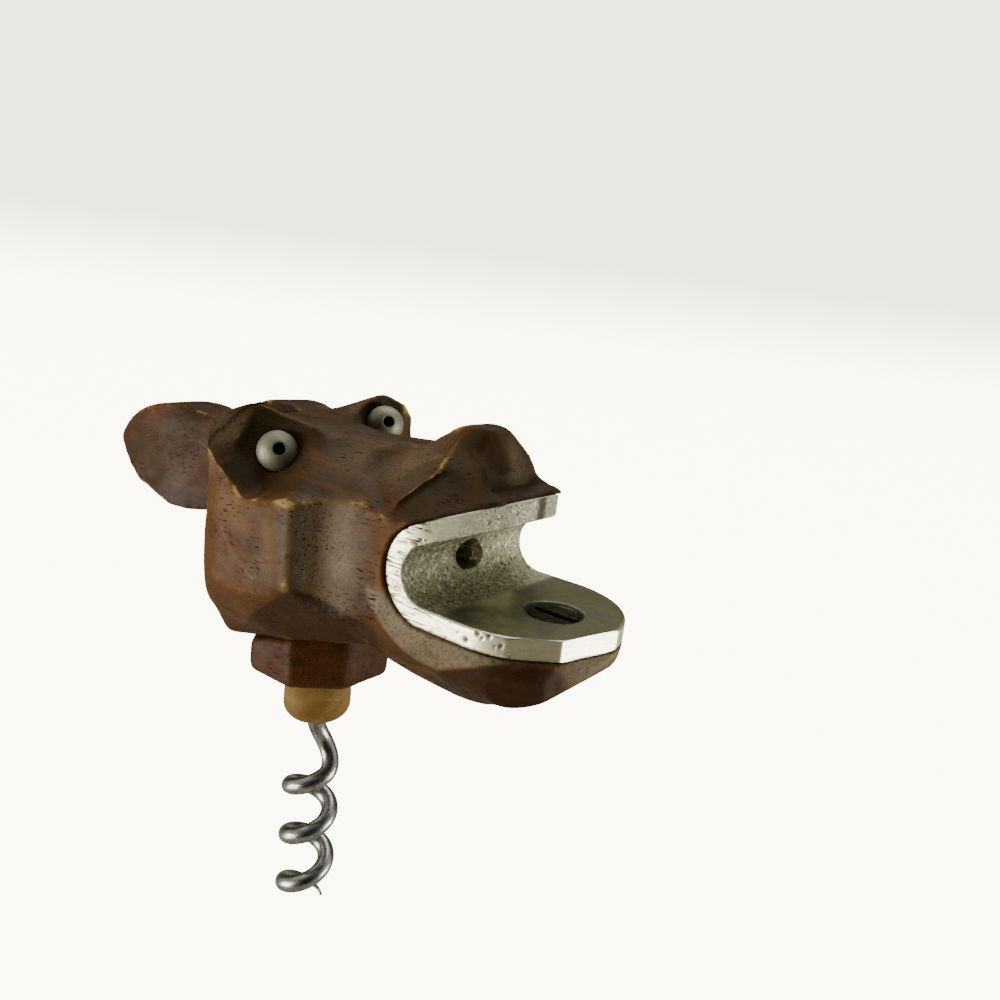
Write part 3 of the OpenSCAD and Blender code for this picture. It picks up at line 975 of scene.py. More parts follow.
@dataclass
class CarvedHead:
    """The head: one block of wood with brows, sockets, cheeks, muzzle and lower jaw."""

    effects: Effects
    cell: float = 0.34
    facets: int = 26
    facet_reach: float = 7.0
    facet_depth: float = 0.03
    bed: MouthBed = MouthBed()
    right_socket: Point = (3.0, -18.0, 36.5)
    right_socket_r: float = 10.6
    left_socket: Point = (4.4, 8.1, 35.7)
    left_socket_r: float = 6.5
    scratch: tuple[Point, ...] = ((-2.9, -15.5, 21.4), (-0.7, -15.5, 18.8), (2.5, -15.5, 17.1),
                                  (3.5, -15.5, 16.4))
    ridge_x: float = 21.2
    ridge_z: float = 30.9
    ridge_lean: float = 0.353
    nose_faces: Point = (0.82, 0.57, 0.0)
    nose_full: float = 2.7
    chin_full: float = 1.0
    nape_full: float = 0.6
    jaw_edge: Curve = ((24, 26, 29.2, 33.9, 36.6, 41.7), (8.5, 10, 12.4, 14.8, 15.9, 16.5))
    band_width: Curve = ((20, 26, 29.2, 33.9, 36.6, 38), (2.9, 3.9, 3.9, 1.8, 0.7, 0))
    cheek_edge: Curve = ((-6, -4.4, 9.7, 14, 21), (5.5, 6.7, 17.1, 16, 14.2))
    eased: tuple[tuple[int, Point, Point], ...] = (
        (130, (6, -6, 33.5), (11, 8, 5.5)),
        (16, (26, -6, 32.5), (6, 6, 5)),
        (9, (21.3, -9.3, 31), (3, 4, 4)),
        (60, (27.3, -3, 34.2), (3.6, 4, 4.5)),
        (50, (35.5, -6, 9.5), (6, 8, 4.5)),
    )
    jaw_facets: tuple[tuple[Point, Point], ...] = (((37.5, -9.9, 13.4), (0.508, -0.739, -0.443)),
                                                   ((42.4, -4.2, 15.6), (0.93, -0.28, -0.24)))
    jaw_reach: float = 9.0
    seed: int = 11
    wood: CarvedWood = CarvedWood("head_wood")

    def handled(self, points: np.ndarray) -> np.ndarray:
        """Where hands have rounded the wood: the nape and the cheeks' feet.

        Args:
            points: One row per point, in millimetres.

        Returns:
            Values from 0 to 1.
        """
        x, _, z = points.T
        nape = 1 - ease((x + 9) / 6)
        foot = (1 - ease((z - 11) / 6)) * (1 - ease((x - 8) / 6))
        return np.clip(0.5 * nape + 0.9 * foot, 0, 1)

    def soft_spot(self, points: np.ndarray, middle: Point, size: Point) -> np.ndarray:
        """Mask of a place on both sides of the head, by its middle on the right and its half widths."""
        away = (points * (1, 0, 1) - np.abs(points) * (0, 1, 0) - middle) / size
        return 1 - ease((np.linalg.norm(away, axis=1) - 0.5) / 0.7)

    def knife_work(self, skin: Skin, keep: np.ndarray) -> None:
        """Blend the brows into the forehead, ease the muzzle and flatten the facets.

        Args:
            skin: The head's surface.
            keep: How much of each point is left alone, from 0 to 1.
        """
        loose = 1 - keep
        for rounds, middle, size in self.eased:
            skin.soften(rounds, self.soft_spot(skin.points, middle, size) * loose)
        x, y, z = skin.points.T
        back = (1 - ease((x + 4.4) / 0.3)) * ease((z - 28.5) / 1.0) * (y < -8)
        skin.fill(np.array((-4.2, -14.5, 29.6)), np.array((0.67, -0.6, 0.44)), back)
        nose = np.exp(-((z - 35.9) / 3.0) ** 2) * ease((x - 24.6) / 2.4) * ease((z - 30.8) / 3.2)
        skin.points[:, 0] += self.nose_full * skin.blurred(nose, 12) * loose
        chin = np.exp(-((x - 40.5) / 3.5) ** 2) * (1 - ease((z - 12) / 3.5))
        skin.points[:, 2] -= self.chin_full * chin
        nape = (1 - ease((x + 9) / 3)) * (1 - ease((z - 19) / 5)) * ease((z - 7) / 4)
        skin.points[:, 0] -= self.nape_full * nape
        bare = np.zeros(len(skin.points))
        for spot, way in self.jaw_facets:
            skin.pare(np.array(spot), np.array(way), self.jaw_reach, bare)

    def band_mask(self, points: np.ndarray) -> np.ndarray:
        """Mask of the lighter band under the liner, which tapers towards the chin.

        Args:
            points: One row per point, in millimetres.

        Returns:
            Values from 0 to 1.
        """
        x, y, z = points.T
        width = np.interp(x, *self.band_width)
        near = ease((width - self.bed.distance(points)) / 0.7 + 0.5)
        return near * (1 - ease((z - 18.5) / 1.5)) * ease((np.abs(y) - 8) / 1.5)

    def socket_mask(self, points: np.ndarray) -> np.ndarray:
        """Mask of the painted shade in the sockets' bowls, which fades towards the forehead.

        Args:
            points: One row per point, in millimetres.

        Returns:
            Values from 0 to 1.
        """
        total = np.zeros(len(points))
        bowls = ((self.right_socket, self.right_socket_r), (self.left_socket, self.left_socket_r))
        for middle, radius in bowls:
            off = np.abs(np.linalg.norm(points - np.array(middle), axis=1) - radius)
            total = np.maximum(total, 1 - ease((off - 0.25) / 0.5))
        behind = ease((points[:, 0] + 4.5) / 0.4)
        return total * behind * (1 - ease((points[:, 0] - 1) / 6))

    def muzzle_mask(self, points: np.ndarray) -> np.ndarray:
        """Mask of the muzzle in front of the ridge that ends the forehead, from 0 to 1."""
        ridge = self.ridge_x + self.ridge_lean * (points[:, 2] - self.ridge_z)
        return ease((points[:, 0] - ridge - 0.1) / 0.7) * ease((points[:, 2] - 27) / 1.5)

    def nose_mask(self, skin: Skin) -> np.ndarray:
        """Mask of the rubbed front of the nose.

        Args:
            skin: The carved surface.

        Returns:
            Mask of the painted sheen along the nose's front, which is seen at a grazing angle.
        """
        facing = skin.blurred(skin.normals(), 6) @ np.array(self.nose_faces)
        height = ease((skin.points[:, 2] - 30) / 1.5)
        far_half = ease((skin.points[:, 1] + 3) / 4) * ease((skin.points[:, 0] - 26) / 2)
        return 0.85 * ease((facing - 0.45) / 0.5) * height * far_half

    def under_mask(self, points: np.ndarray) -> np.ndarray:
        """Mask of the painted shade on the facets that face down, under the cheek and on the side of the
        jaw.

        Args:
            points: One row per point, in millimetres.

        Returns:
            Values from 0 to 1.
        """
        x, y, z = points.T
        jaw = ease((np.interp(x, *self.jaw_edge) - z) / 0.5) * ease((x - 24.5) / 3)
        jaw = jaw * (1 - ease((x - 41.3) / 0.5))
        cheek = ease((np.interp(x, *self.cheek_edge) - z) / 0.6) * (1 - ease((x - 19) / 3))
        return np.maximum(jaw, cheek) * ease((np.abs(y) - 3) / 2)

    def ridge_mask(self, points: np.ndarray) -> np.ndarray:
        """Mask of the worn ridge between forehead and muzzle.

        Args:
            points: One row per point, in millimetres.

        Returns:
            Values from 0 to 1.
        """
        x, _, z = points.T
        off = x - self.ridge_x - self.ridge_lean * (z - self.ridge_z)
        return np.exp(-((off + 0.15) / 0.4) ** 2) * ease((z - 28.6) / 1.5) * ease((37.2 - z) / 2)

    @staticmethod
    def line_mask(points: np.ndarray, start: np.ndarray, end: np.ndarray, width: float) -> np.ndarray:
        """Mask of a thin line.

        Args:
            points: One row per point, in millimetres.
            start: Where the line starts.
            end: Where it ends.
            width: Its half width.

        Returns:
            Values from 0 to 1.
        """
        run = end - start
        along = np.clip((points - start) @ run / (run @ run), 0, 1)
        return 1 - ease(np.linalg.norm(points - start - along[:, None] * run, axis=1) / width)

    def tints(self, skin: Skin) -> None:
        """Find edges and hollows, and lay the patches of colour, painted shade and painted sheen among them.

        Args:
            skin: The carved surface.
        """
        fine = skin.bend_of_surface(10)
        wide = skin.bend_of_surface(90)
        for tint in Tint:
            skin.mark(tint, np.zeros(len(skin.points)))
        nose_sheen = self.nose_mask(skin)
        muzzle = self.muzzle_mask(skin.points)
        plain = 1 - 0.75 * muzzle
        beside = 1 - 0.6 * (1 - ease((self.bed.distance(skin.points) - 0.3) / 0.8))
        calm = 1 - 0.85 * self.soft_spot(skin.points, (12, -7, 32), (8, 6, 4))
        calm *= 1 - self.soft_spot(skin.points, (36, -6, 10), (10, 10, 7))
        edge = np.clip(fine / 0.13, 0, 1) * plain * beside * calm
        skin.mark(Tint.EDGE, np.maximum(edge, 0.72 * self.ridge_mask(skin.points)))
        # Painted shade in hollows, left out behind the brow, where the wood stands in light.
        open_air = 1 - 0.9 * self.soft_spot(skin.points, (-6.5, -13, 32.5), (4, 5, 5))
        skin.mark(Tint.HOLLOW_SHADE, np.clip(-wide / 0.9, 0, 1) * open_air)
        for patch in HEAD_PATCHES:
            skin.mark(patch.tint, patch.spread(skin.points))
        for start, end in zip(self.scratch[:-1], self.scratch[1:]):
            line = self.line_mask(skin.points, np.array(start), np.array(end), 0.34)
            skin.mark(Tint.PALE, 0.45 * line)
        skin.mark(Tint.GREY_AND_SHEEN, 0.9 * self.band_mask(skin.points))
        # Painted shade on the facets that face down, under the cheek and on the jaw's side.
        under = self.under_mask(skin.points)
        skin.mark(Tint.RED, 0.95 * under)
        # Painted shade in the eye sockets.
        skin.mark(Tint.DARK_AND_SHADE, 0.9 * self.socket_mask(skin.points))
        skin.mark(Tint.DARK_AND_SHADE, 0.2 * under)
        # Painted shade on the muzzle, left off the nose's front.
        skin.mark(Tint.DARK_AND_SHADE, 0.8 * muzzle * (1 - nose_sheen))
        # Painted sheen on the nose's front.
        skin.mark(Tint.GREY_AND_SHEEN, nose_sheen)

    def build(self, node: bpy.types.Object) -> None:
        """Carve and dress the head.

        Args:
            node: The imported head.
        """
        skin = Skin.from_node(node, self.cell)
        rng = np.random.default_rng(self.seed)
        keep = 1 - ease((self.bed.distance(skin.points) - 0.3) / 1.2)
        skin.soften(10, 1 - 0.97 * keep)
        skin.soften(60, self.handled(skin.points) * (1 - keep))
        self.knife_work(skin, keep)
        skin.whittle(rng, self.facets, self.facet_reach, self.facet_depth, 0.03, keep)
        skin.soften(3, 1 - 0.97 * keep)
        skin.swell((0.04 * bumps(skin.points, 7, 3) - 0.1) * (1 - keep))
        self.bed.seat(skin)
        self.tints(skin)
        dressed(skin.as_object("carved_head", self.wood.material(self.effects)), "head", "head_wood")


@dataclass
class Ears:
    """Two laid-back leaves of wood, pegged into the nape."""

    effects: Effects
    cell: float = 0.36
    seed: int = 21
    wood: CarvedWood = CarvedWood("ear_wood", body="4a2c12", deep="331d0b", amber="61330a", pores=0.6)

    def build(self, nodes: dict[str, bpy.types.Object]) -> None:
        """Carve and dress both ears.

        Args:
            nodes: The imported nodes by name.
        """
        material = self.wood.material(self.effects)
        for i, name in enumerate(("right_ear", "left_ear")):
            skin = Skin.from_node(nodes[name], self.cell)
            skin.soften(4)
            rng = np.random.default_rng(self.seed + i)
            skin.whittle(rng, 26, 5.0, 0.12, 0.06, np.zeros(len(skin.points)))
            skin.soften(1)
            bend = skin.bend_of_surface(10)
            skin.mark(Tint.EDGE, np.clip(bend / 0.26, 0, 0.85))
            # Painted shade in hollows.
            skin.mark(Tint.HOLLOW_SHADE, np.clip(-skin.bend_of_surface(60) / 0.6, 0, 1))
            mottle = bumps(skin.points, 5, 81 + i)
            skin.mark(Tint.AMBER, np.clip(mottle, 0, 1) * 0.6)
            skin.mark(Tint.DARK_AND_SHADE, np.clip(-mottle, 0, 1) * 0.45)
            dressed(skin.as_object(f"carved_{name}", material), name, "head_wood")


@dataclass
class NeckAndTenon:
    """The eight-sided collar under the head and the pale dowel through it."""

    effects: Effects
    cell: float = 0.3
    seed: int = 31
    tenon_r: float = 4.7
    tenon_out: float = 8.0
    tenon_round: float = 2.4
    seat_r: float = 4.2
    seat_top: float = 16.0
    bore_r: float = 1.3
    bore_top: float = 12.0
    sides: int = 96
    dark: CarvedWood = CarvedWood("neck_wood", body="482812", deep="341b0b", amber="5c2f09", wear=0.6)
    pale: CarvedWood = CarvedWood("tenon_wood", body="876a3b", deep="74572b", amber="785323", pores=0.35,
                                  gloss=0.5)

    def neck(self, node: bpy.types.Object) -> None:
        """Carve and dress the collar.

        Args:
            node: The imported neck.
        """
        skin = Skin.from_node(node, self.cell)
        skin.soften(34)
        skin.whittle(np.random.default_rng(self.seed), 18, 4.5, 0.06, 0.04, np.zeros(len(skin.points)))
        skin.soften(3)
        skin.mark(Tint.EDGE, np.clip(skin.bend_of_surface(8) / 0.14, 0, 1))
        dressed(skin.as_object("neck_collar", self.dark.material(self.effects)), "neck", "neck_wood")

    def tenon_profile(self) -> list[tuple[float, float]]:
        """Outline of the dowel from its bore's foot, round its end and up to its top.

        Returns:
            Radius and height of each point in millimetres.
        """
        foot = -self.tenon_out
        profile = [(self.bore_r, foot + 0.25), (self.bore_r + 0.2, foot)]
        arc = np.linspace(-90, 0, 12)
        middle = self.tenon_r - self.tenon_round
        profile += [(middle + self.tenon_round * math.cos(math.radians(a)),
                     foot + self.tenon_round * (1 + math.sin(math.radians(a)))) for a in arc]
        for z in np.linspace(foot + self.tenon_round + 0.4, -0.2, 12):
            profile.append((self.tenon_r - 0.04 * (1 + math.sin(3.1 * z)), float(z)))
        profile += [(self.tenon_r, -0.05), (self.seat_r, 0.0), (self.seat_r, self.seat_top - 0.4)]
        profile += [(self.seat_r - 0.4, self.seat_top), (self.bore_r, self.seat_top - 0.02)]
        profile += [(self.bore_r, self.bore_top), (self.bore_r, foot + 0.25)]
        return profile

    def tenon(self) -> None:
        """Turn and dress the dowel."""
        skin = Skin.turned(self.tenon_profile(), self.sides)
        skin.points += 0.02 * bumps(skin.points, 5, 41)[:, None] * skin.points * (0.2, 0.2, 0)
        skin.mark(Tint.EDGE, np.zeros(len(skin.points)))
        dressed(skin.as_object("tenon_dowel", self.pale.material(self.effects)), "tenon", "tenon_wood")


@dataclass
class Worm:
    """One steel wire: a straight shank and a right-hand coil with a ground point."""

    effects: Effects
    wire_r: float = 1.24
    tip_r: float = 0.24
    coil_r: float = 2.95
    turns: float = 3.25
    pitch: float = 8.0
    start: float = math.radians(158)
    lead: float = 0.45
    drop: float = 4.7
    taper: float = 0.45
    top: float = -8.0
    shank: float = 19.9
    steps: int = 340
    shank_steps: int = 30
    sides: int = 24
    steel: OldMetal = OldMetal("bright_steel", "a9aaa8", "7c7d7c", "dededb", 0.24, 0.25, 0.08)

    def path(self) -> tuple[np.ndarray, np.ndarray]:
        """Middle and radius of the wire from the shank's top to the point.

        Returns:
            One row per step in millimetres, and the radii.
        """
        u = np.linspace(0, self.turns, self.steps)
        a = self.start - 2 * math.pi * u
        lead = ease(u / self.lead)
        r = self.coil_r * lead
        coil = np.c_[r * np.cos(a), r * np.sin(a), self.top - self.drop * lead - self.pitch * u]
        wire = self.tip_r + (self.wire_r - self.tip_r) * ease((self.turns - u) / self.taper)
        rise = np.linspace(self.shank, 0, self.shank_steps, endpoint=False)
        straight = np.c_[np.zeros((self.shank_steps, 2)), self.top + rise]
        radii = np.concatenate([np.full(self.shank_steps, self.wire_r), wire])
        return np.concatenate([straight, coil]), radii

    def build(self) -> None:
        """Bend and dress the wire."""
        path, radii = self.path()
        skin = Skin.swept(path, radii, self.sides)
        skin.mark(Zone.EDGE, np.zeros(len(skin.points)))
        dressed(skin.as_object("steel_worm", self.steel.material(self.effects)), "worm", "worm_steel")


@dataclass
class MouthLiner:
    """The cast C in the mouth, with its screw and its nail."""

    effects: Effects
    cell: float = 0.17
    bed: MouthBed = MouthBed()
    mouth_r: float = 3.45
    pit_spots: tuple[Point, ...] = ((33.0, 17.5, 0.34), (34.4, 18.6, 0.3), (34.9, 18.3, 0.2),
                                    (35.6, 18.7, 0.28), (36.9, 17.9, 0.3))
    facets: tuple[tuple[Point, Point, float], ...] = (((39.4, -8.6, 17.7), (0.664, -0.747, 0.0), 6.0),
                                                      ((42.8, -2.6, 17.7), (0.963, -0.268, 0.0), 8.0))
    screw_cell: float = 0.1
    screw_at: tuple[float, float] = (36.4, 0.0)
    nail_x: float = 23.4
    nail_head_r: float = 2.1
    nail_head_h: float = 1.9
    nail_r: float = 1.0
    nail_len: float = 11.0
    nail_sides: int = 48
    pit_seed: int = 52
    cast: CastMetal = CastMetal()
    bronze: OldMetal = OldMetal("screw_bronze", "29261a", "17150e", "46422f", 0.55, 0.5, 0.3)
    iron: OldMetal = OldMetal("nail_iron", "615e44", "302e1f", "959069", 0.6, 0.8, 0.8)

    def pits(self, skin: Skin) -> np.ndarray:
        """Sink a few casting pits into the lower rim.

        Args:
            skin: The liner's surface.

        Returns:
            Mask of the pits.
        """
        rng = np.random.default_rng(self.pit_seed)
        total = np.zeros(len(skin.points))
        spots = list(self.pit_spots)
        spots += [(float(rng.uniform(22, 38)), float(rng.uniform(16.8, 18.8)), 0.13) for _ in range(8)]
        for x, z, r in spots:
            away = np.hypot(skin.points[:, 0] - x, skin.points[:, 2] - z)
            total = np.maximum(total, (1 - ease(away / (1.5 * r))) * (skin.points[:, 1] < 0))
        return total

    def build_liner(self, node: bpy.types.Object) -> None:
        """Shape and dress the cast C.

        Args:
            node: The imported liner.
        """
        skin = Skin.from_node(node, self.cell)
        skin.soften(4)
        bare = np.zeros(len(skin.points))
        for spot, way, reach in self.facets:
            skin.pare(np.array(spot), np.array(way), reach, bare)
        skin.soften(1)
        normal = skin.blurred(skin.normals(), 3)
        x, y, z = skin.points.T
        far = np.hypot(x - self.bed.throat[0], z - self.bed.throat[1])
        inside = far < self.mouth_r + 0.5
        wall = skin.blurred(np.where(inside & (x < 30), 1.0, 0.0) * (np.abs(normal[:, 1]) < 0.6), 8)
        ground = ease((np.abs(normal[:, 1]) - 0.55) / 0.3)
        front = ease((normal[:, 0] - 0.4) / 0.4) * (x > 36)
        upper = ease((normal[:, 2] - 0.5) / 0.3) * ease((z - 27) / 1.5)
        skin.mark(Zone.RIM, np.maximum(np.maximum(ground, front), upper))
        grain = 0.8 * ease((x - 26.5) / 4) * ease((z - 25) / 1.5)
        skin.mark(Zone.WALL, np.maximum(skin.blurred(wall, 30), grain))
        low_back = (1 - ease((x - 26) / 5)) * (1 - ease((z - 18.5) / 1.5))
        high_back = (1 - ease((x - 25) / 2)) * ease((z - 24.5) / 1.5)
        skin.mark(Zone.FILED, np.maximum(1 - ease((x - 22.6) / 1.6), np.maximum(low_back, high_back)))
        skin.mark(Zone.SATIN, ease((x - 25.5) / 2) * ease((z - 25) / 1.5))
        # Painted shade on the faces that the wood covers, except the bare roof.
        bare_roof = ease((z - 24) / 1.5) * ease((x - 26) / 2)
        hidden = (1 - ease((self.bed.distance(skin.points) - 0.1) / 0.3)) * (1 - bare_roof)
        sink = 1 - ease((np.hypot(x - self.screw_at[0], y - self.screw_at[1]) - 3.6) / 0.8)
        edge = np.clip(skin.bend_of_surface(10) / 0.08, 0, 1)
        skin.mark(Zone.EDGE, edge * (1 - hidden) * (1 - 0.9 * sink))
        pit = self.pits(skin) * ground
        # Darker round the screw.
        low = 1 - ease((np.hypot(x - self.screw_at[0], y - self.screw_at[1]) - 3.3) / 0.3)
        shade_and_screw_ring = np.maximum(hidden, 0.85 * low)
        # Painted shade at the wall's top and foot, lighter across its middle.
        wall_band_shade = 0.3 * wall * (1 - np.exp(-((z - 21.6) / 1.7) ** 2))
        skin.mark(Zone.PIT_AND_SHADE, np.maximum(np.maximum(pit, wall_band_shade), shade_and_screw_ring * (1 - ground) * (1 - front)))
        skin.swell(0.03 * bumps(skin.points, 0.5, 51) * wall - 0.16 * pit - 0.02)
        made = skin.as_object("cast_mouth_liner", self.cast.material(self.effects))
        dressed(made, "mouth_liner", "liner_metal")

    def build_screw(self, node: bpy.types.Object) -> None:
        """Wear down and dress the slotted screw.

        Args:
            node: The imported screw.
        """
        skin = Skin.from_node(node, self.screw_cell)
        skin.soften(5)
        skin.mark(Zone.EDGE, 0.35 * np.clip(skin.bend_of_surface(10) / 0.05, 0, 1))
        skin.swell(0.02 * bumps(skin.points, 0.9, 61) - 0.02)
        made = skin.as_object("slotted_jaw_screw", self.bronze.material(self.effects))
        dressed(made, "jaw_screw", "screw_bronze")

    def build_nail(self) -> None:
        """Hammer and dress the domed nail."""
        radius = (self.nail_head_r ** 2 + self.nail_head_h ** 2) / (2 * self.nail_head_h)
        half = math.asin(self.nail_head_r / radius)
        dome = [(radius * math.sin(a), self.nail_head_h - radius + radius * math.cos(a))
                for a in np.linspace(0.001, half * 0.97, 16)]
        profile = dome + [(self.nail_head_r * 0.99, 0.02), (self.nail_r, 0.01), (self.nail_r, -0.4)]
        profile += [(self.nail_r, 2 - self.nail_len), (0.25, 0.1 - self.nail_len)]
        profile.append((0.001, 0.05 - self.nail_len))
        skin = Skin.turned(profile[::-1], self.nail_sides)
        lift = np.where(skin.points[:, 2] > 0.1, 1.0, 0.0)
        skin.swell((0.05 * bumps(skin.points, 0.8, 71) - 0.06) * lift)
        x, y, z = skin.points.T
        skin.points = np.c_[z + self.nail_x, y, self.bed.throat[1] - x]
        skin.mark(Zone.EDGE, np.zeros(len(skin.points)))
        made = skin.as_object("domed_throat_nail", self.iron.material(self.effects))
        dressed(made, "throat_nail", "nail_iron")


@dataclass
class Eyes:
    """Two pierced metal balls on pins."""

    effects: Effects
    bead_r: float = 2.6
    hole_r: float = 0.9
    pin_r: float = 0.84
    pin_len: float = 6.95
    recess: float = 1.12
    right: Point = (-0.4, -9.4, 30.8)
    left: Point = (-0.4, 9.4, 33.4)
    bead_sides: int = 72
    pin_sides: int = 32
    gaze: Point = (0.779, -0.5455, 0.309)
    bead: OldMetal = OldMetal("bead_metal", "8d8978", "7b7766", "aba793", 0.55, 0.25, 0.1, 0.5)
    pin: OldMetal = OldMetal("pin_iron", "3a332b", "1d1916", "6b6150", 0.5, 0.6, 0.5)

    def bead_profile(self) -> list[tuple[float, float]]:
        """Outline of a ball with rounded hole mouths.

        Returns:
            Radius and height of each point in millimetres.
        """
        mouth = math.asin((self.hole_r - 0.04) / self.bead_r)
        outside = [(self.bead_r * math.sin(a), -self.bead_r * math.cos(a))
                   for a in np.linspace(mouth, math.pi - mouth, 48)]
        top = outside[-1][1]
        lip = [(self.hole_r - 0.12, top - 0.02), (self.hole_r - 0.13, top - 0.14), (self.hole_r, top - 0.35)]
        return outside + lip + [(r, -z) for r, z in lip[::-1]] + outside[:1]

    def pin_profile(self) -> list[tuple[float, float]]:
        """Outline of a pin with a hammered top.

        Returns:
            Radius and height of each point in millimetres.
        """
        top = self.bead_r - self.recess
        dome = [(self.pin_r * math.cos(a), top - 0.25 + 0.25 * math.sin(a)) for a in np.linspace(0, 1.57, 8)]
        foot = top - self.pin_len
        return [(0.001, foot), (self.pin_r * 0.6, foot + 0.05), (self.pin_r, foot + 0.6)] + dome

    def put(self, skin: Skin, middle: Point) -> None:
        """Turn a shape along the gaze and set it on an eye's middle.

        Args:
            skin: A shape along the Z axis.
            middle: The eye's middle in millimetres.
        """
        turn = Vector((0, 0, 1)).rotation_difference(Vector(self.gaze)).to_matrix()
        skin.points = skin.points @ np.array(turn).T + middle
        skin.mark(Zone.EDGE, np.zeros(len(skin.points)))

    def build(self) -> None:
        """Turn and dress both beads and their pins."""
        bead_metal = self.bead.material(self.effects)
        pin_iron = self.pin.material(self.effects)
        for seed, (side, middle) in enumerate((("right", self.right), ("left", self.left))):
            ball = Skin.turned(self.bead_profile(), self.bead_sides)
            ball.points *= 1 + 0.006 * bumps(ball.points, 2.2, 81 + seed)[:, None] - 0.008
            self.put(ball, middle)
            dressed(ball.as_object(f"{side}_bead", bead_metal), f"{side}_eye_bead", "bead_metal")
            rod = Skin.turned(self.pin_profile(), self.pin_sides)
            self.put(rod, middle)
            dressed(rod.as_object(f"{side}_bead_pin", pin_iron), f"{side}_eye_pin", "pin_iron")


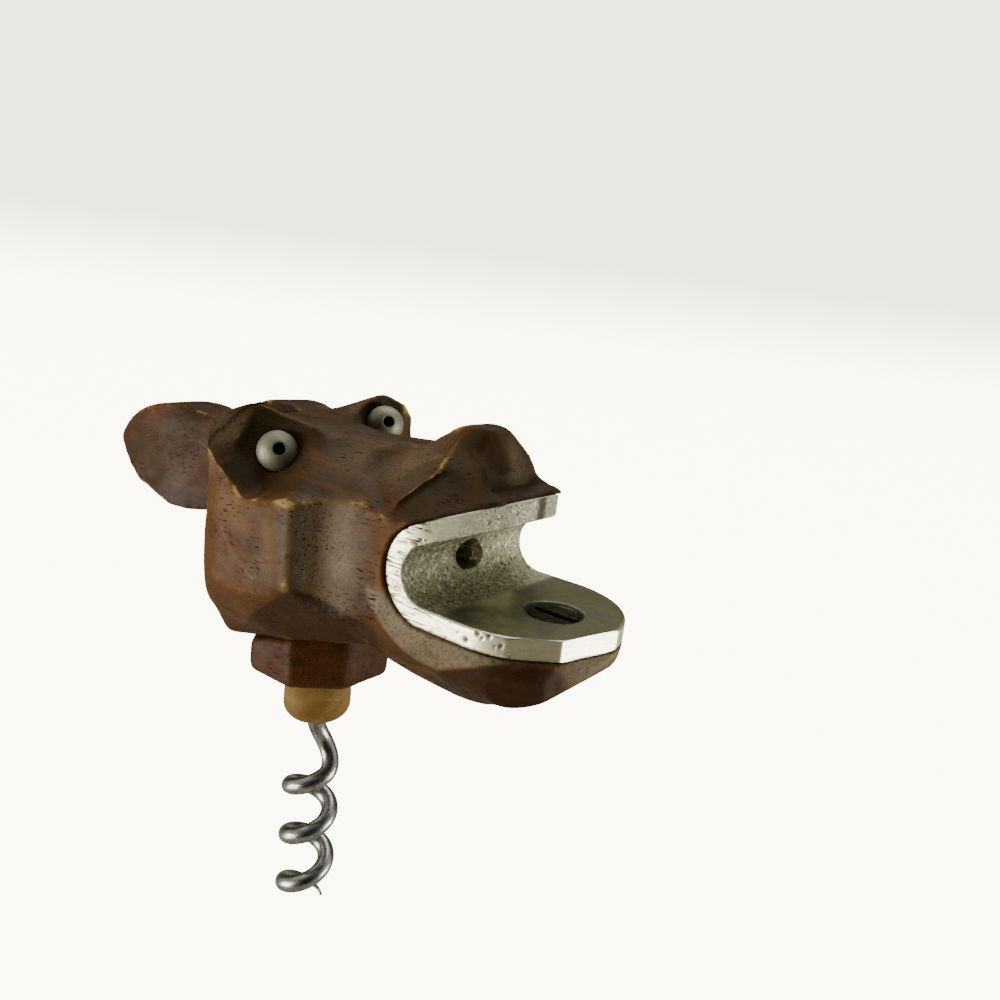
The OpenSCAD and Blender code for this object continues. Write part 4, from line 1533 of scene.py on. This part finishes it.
@dataclass
class Studio:
    """Pale sweep of floor and wall, soft light and the camera."""

    floor_z: float = -0.12
    wall_at: float = 2.6
    sweep_r: float = 0.5
    half_width: float = 5.0
    back: tuple[float, float] = (-0.57, 0.8217)
    eye: Point = (0.0816, -0.07832, 0.0515)
    right: Point = (0.8008, 0.5875, 0.1161)
    up: Point = (-0.2233, 0.113, 0.9682)
    lens: float = 30.6
    paper_glow: float = 10.0
    room: float = 0.75
    lamps: tuple[tuple[str, Point, float, float], ...] = (
        ("overhead", (-0.3, 0.5, 1.1), 1.0, 9.0),
        ("low_left", (-0.15, -0.235, -0.05), 0.2, 1.25),
        ("low_right", (0.28, 0.145, -0.06), 0.16, 1.0),
    )

    def across(self, ahead: float, aside: float, height: float) -> Point:
        """Place a point by its distance behind the part, to the right and above the floor, in metres."""
        return (ahead * self.back[0] + aside * self.back[1], ahead * self.back[1] - aside * self.back[0],
                self.floor_z + height)

    def panel(self, name: str, points: list[Point], faces: list[tuple[int, ...]]) -> bpy.types.Object:
        """Add a sheet that isn't part of the object.

        Args:
            name: The sheet's name.
            points: Its corners in metres.
            faces: Its faces.

        Returns:
            The sheet.
        """
        mesh = bpy.data.meshes.new(name)
        mesh.from_pydata(points, [], faces)
        mesh.shade_smooth()
        made = bpy.data.objects.new(name, mesh)
        bpy.context.scene.collection.objects.link(made)
        return made

    def sweep(self) -> None:
        """Build the floor that runs up into the wall."""
        arc = np.linspace(0, math.pi / 2, 24)
        run = [(-3.0, 0.0), (-1.0, 0.0), (1.0, 0.0)]
        run += [(self.wall_at - self.sweep_r + self.sweep_r * math.sin(a), self.sweep_r * (1 - math.cos(a)))
                for a in arc]
        run.append((self.wall_at, 3.5))
        points = [self.across(s, w, h) for s, h in run for w in (-self.half_width, self.half_width)]
        faces = [(2 * i, 2 * i + 1, 2 * i + 3, 2 * i + 2) for i in range(len(run) - 1)]
        made = self.panel("pale_sweep", points, faces)
        material, s, shader = blank("pale_paper")
        height = s.node("ShaderNodeSeparateXYZ")
        s.feed(height.inputs[0], s.here())
        cloud = s.noise(s.here(), 3.0, 3.0)
        s.feed(shader.inputs["Base Color"], s.mix(cloud, paint("a5a294"), paint("9c998c")))
        shader.inputs["Roughness"].default_value = 0.8
        tall = s.span(height.outputs["Z"], self.floor_z, self.floor_z + 0.35)
        glow = s.mix(tall, (1.0, 0.99, 0.74, 1.0), (0.36, 0.355, 0.31, 1.0))
        seen = s.node("ShaderNodeLightPath").outputs["Is Camera Ray"]
        s.feed(shader.inputs["Emission Color"], s.mix(seen, (0.0, 0.0, 0.0, 1.0), glow))
        shader.inputs["Emission Strength"].default_value = self.paper_glow
        made.data.materials.append(material)

    def flag(self) -> None:
        """Stand a dark card behind the camera, which only reflections see."""
        outline = ((-0.16, 0.0), (0.2, 0.0), (0.2, 0.42), (-0.16, 0.42))
        corners = [self.across(-0.42, w, h) for w, h in outline]
        made = self.panel("dark_card", corners, [(0, 1, 2, 3)])
        material, s, shader = blank("dark_felt")
        s.feed(shader.inputs["Base Color"], s.mix(s.noise(s.here(), 40.0), paint("15130f"), paint("221f1a")))
        shader.inputs["Roughness"].default_value = 0.9
        made.data.materials.append(material)
        made.visible_camera = False

    def world(self) -> None:
        """Make a bright room that is darker on the camera's side."""
        world = bpy.data.worlds.new("bright_room")
        world.use_nodes = True
        bpy.context.scene.world = world
        s = Shading(world.node_tree)
        ground = world.node_tree.nodes["Background"]
        way = s.node("ShaderNodeTexCoord").outputs["Generated"]
        toward = s.node("ShaderNodeVectorMath", operation="DOT_PRODUCT")
        s.feed(toward.inputs[0], way)
        toward.inputs[1].default_value = (-self.back[0], -self.back[1], 0.15)
        dim = s.span(toward.outputs["Value"], 0.1, 0.8)
        seen = s.node("ShaderNodeLightPath").outputs["Is Camera Ray"]
        room = s.mix(dim, (1.0, 0.98, 0.9, 1.0), (0.12, 0.115, 0.1, 1.0))
        s.feed(ground.inputs["Color"], s.mix(seen, room, (2.6, 2.6, 2.45, 1.0)))
        ground.inputs["Strength"].default_value = self.room

    def light(self, name: str, place: Point, size: float, power: float) -> None:
        """Hang a soft square light that faces the part.

        Args:
            name: The light's name.
            place: Where it hangs, in metres.
            size: Its width in metres.
            power: Its power in watts.
        """
        lamp = bpy.data.lights.new(name, "AREA")
        lamp.size = size
        lamp.energy = power
        lamp.color = (1.0, 0.98, 0.9)
        made = bpy.data.objects.new(name, lamp)
        made.location = place
        made.rotation_euler = (-Vector(place)).to_track_quat("-Z", "Y").to_euler()
        made.visible_camera = False
        bpy.context.scene.collection.objects.link(made)

    def camera(self) -> None:
        """Stand the camera at the photograph's place."""
        data = bpy.data.cameras.new("camera")
        data.lens = self.lens
        data.sensor_width = 36.0
        data.clip_start = 0.005
        made = bpy.data.objects.new("camera", data)
        right = Vector(self.right).normalized()
        up = Vector(self.up).normalized()
        facing = Matrix((right, up, right.cross(up))).transposed()
        made.matrix_world = Matrix.Translation(self.eye) @ facing.to_4x4()
        bpy.context.scene.collection.objects.link(made)
        bpy.context.scene.camera = made

    def build(self) -> None:
        """Set up floor, room, lights and camera."""
        self.sweep()
        self.flag()
        self.world()
        for lamp in self.lamps:
            self.light(*lamp)
        self.camera()


def main() -> None:
    """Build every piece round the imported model."""
    logging.basicConfig(level=logging.INFO, format="%(name)s: %(message)s")
    for old in list(bpy.data.objects):
        bpy.data.objects.remove(old)
    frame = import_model()
    nodes = frame["nodes"]
    effects = Effects.made()
    Studio().build()
    CarvedHead(effects).build(nodes["head"])
    Ears(effects).build(nodes)
    stem = NeckAndTenon(effects)
    stem.neck(nodes["neck"])
    stem.tenon()
    Worm(effects).build()
    mouth = MouthLiner(effects)
    mouth.build_liner(nodes["mouth_liner"])
    mouth.build_screw(nodes["jaw_screw"])
    mouth.build_nail()
    Eyes(effects).build()


if __name__ == "__main__":
    main()
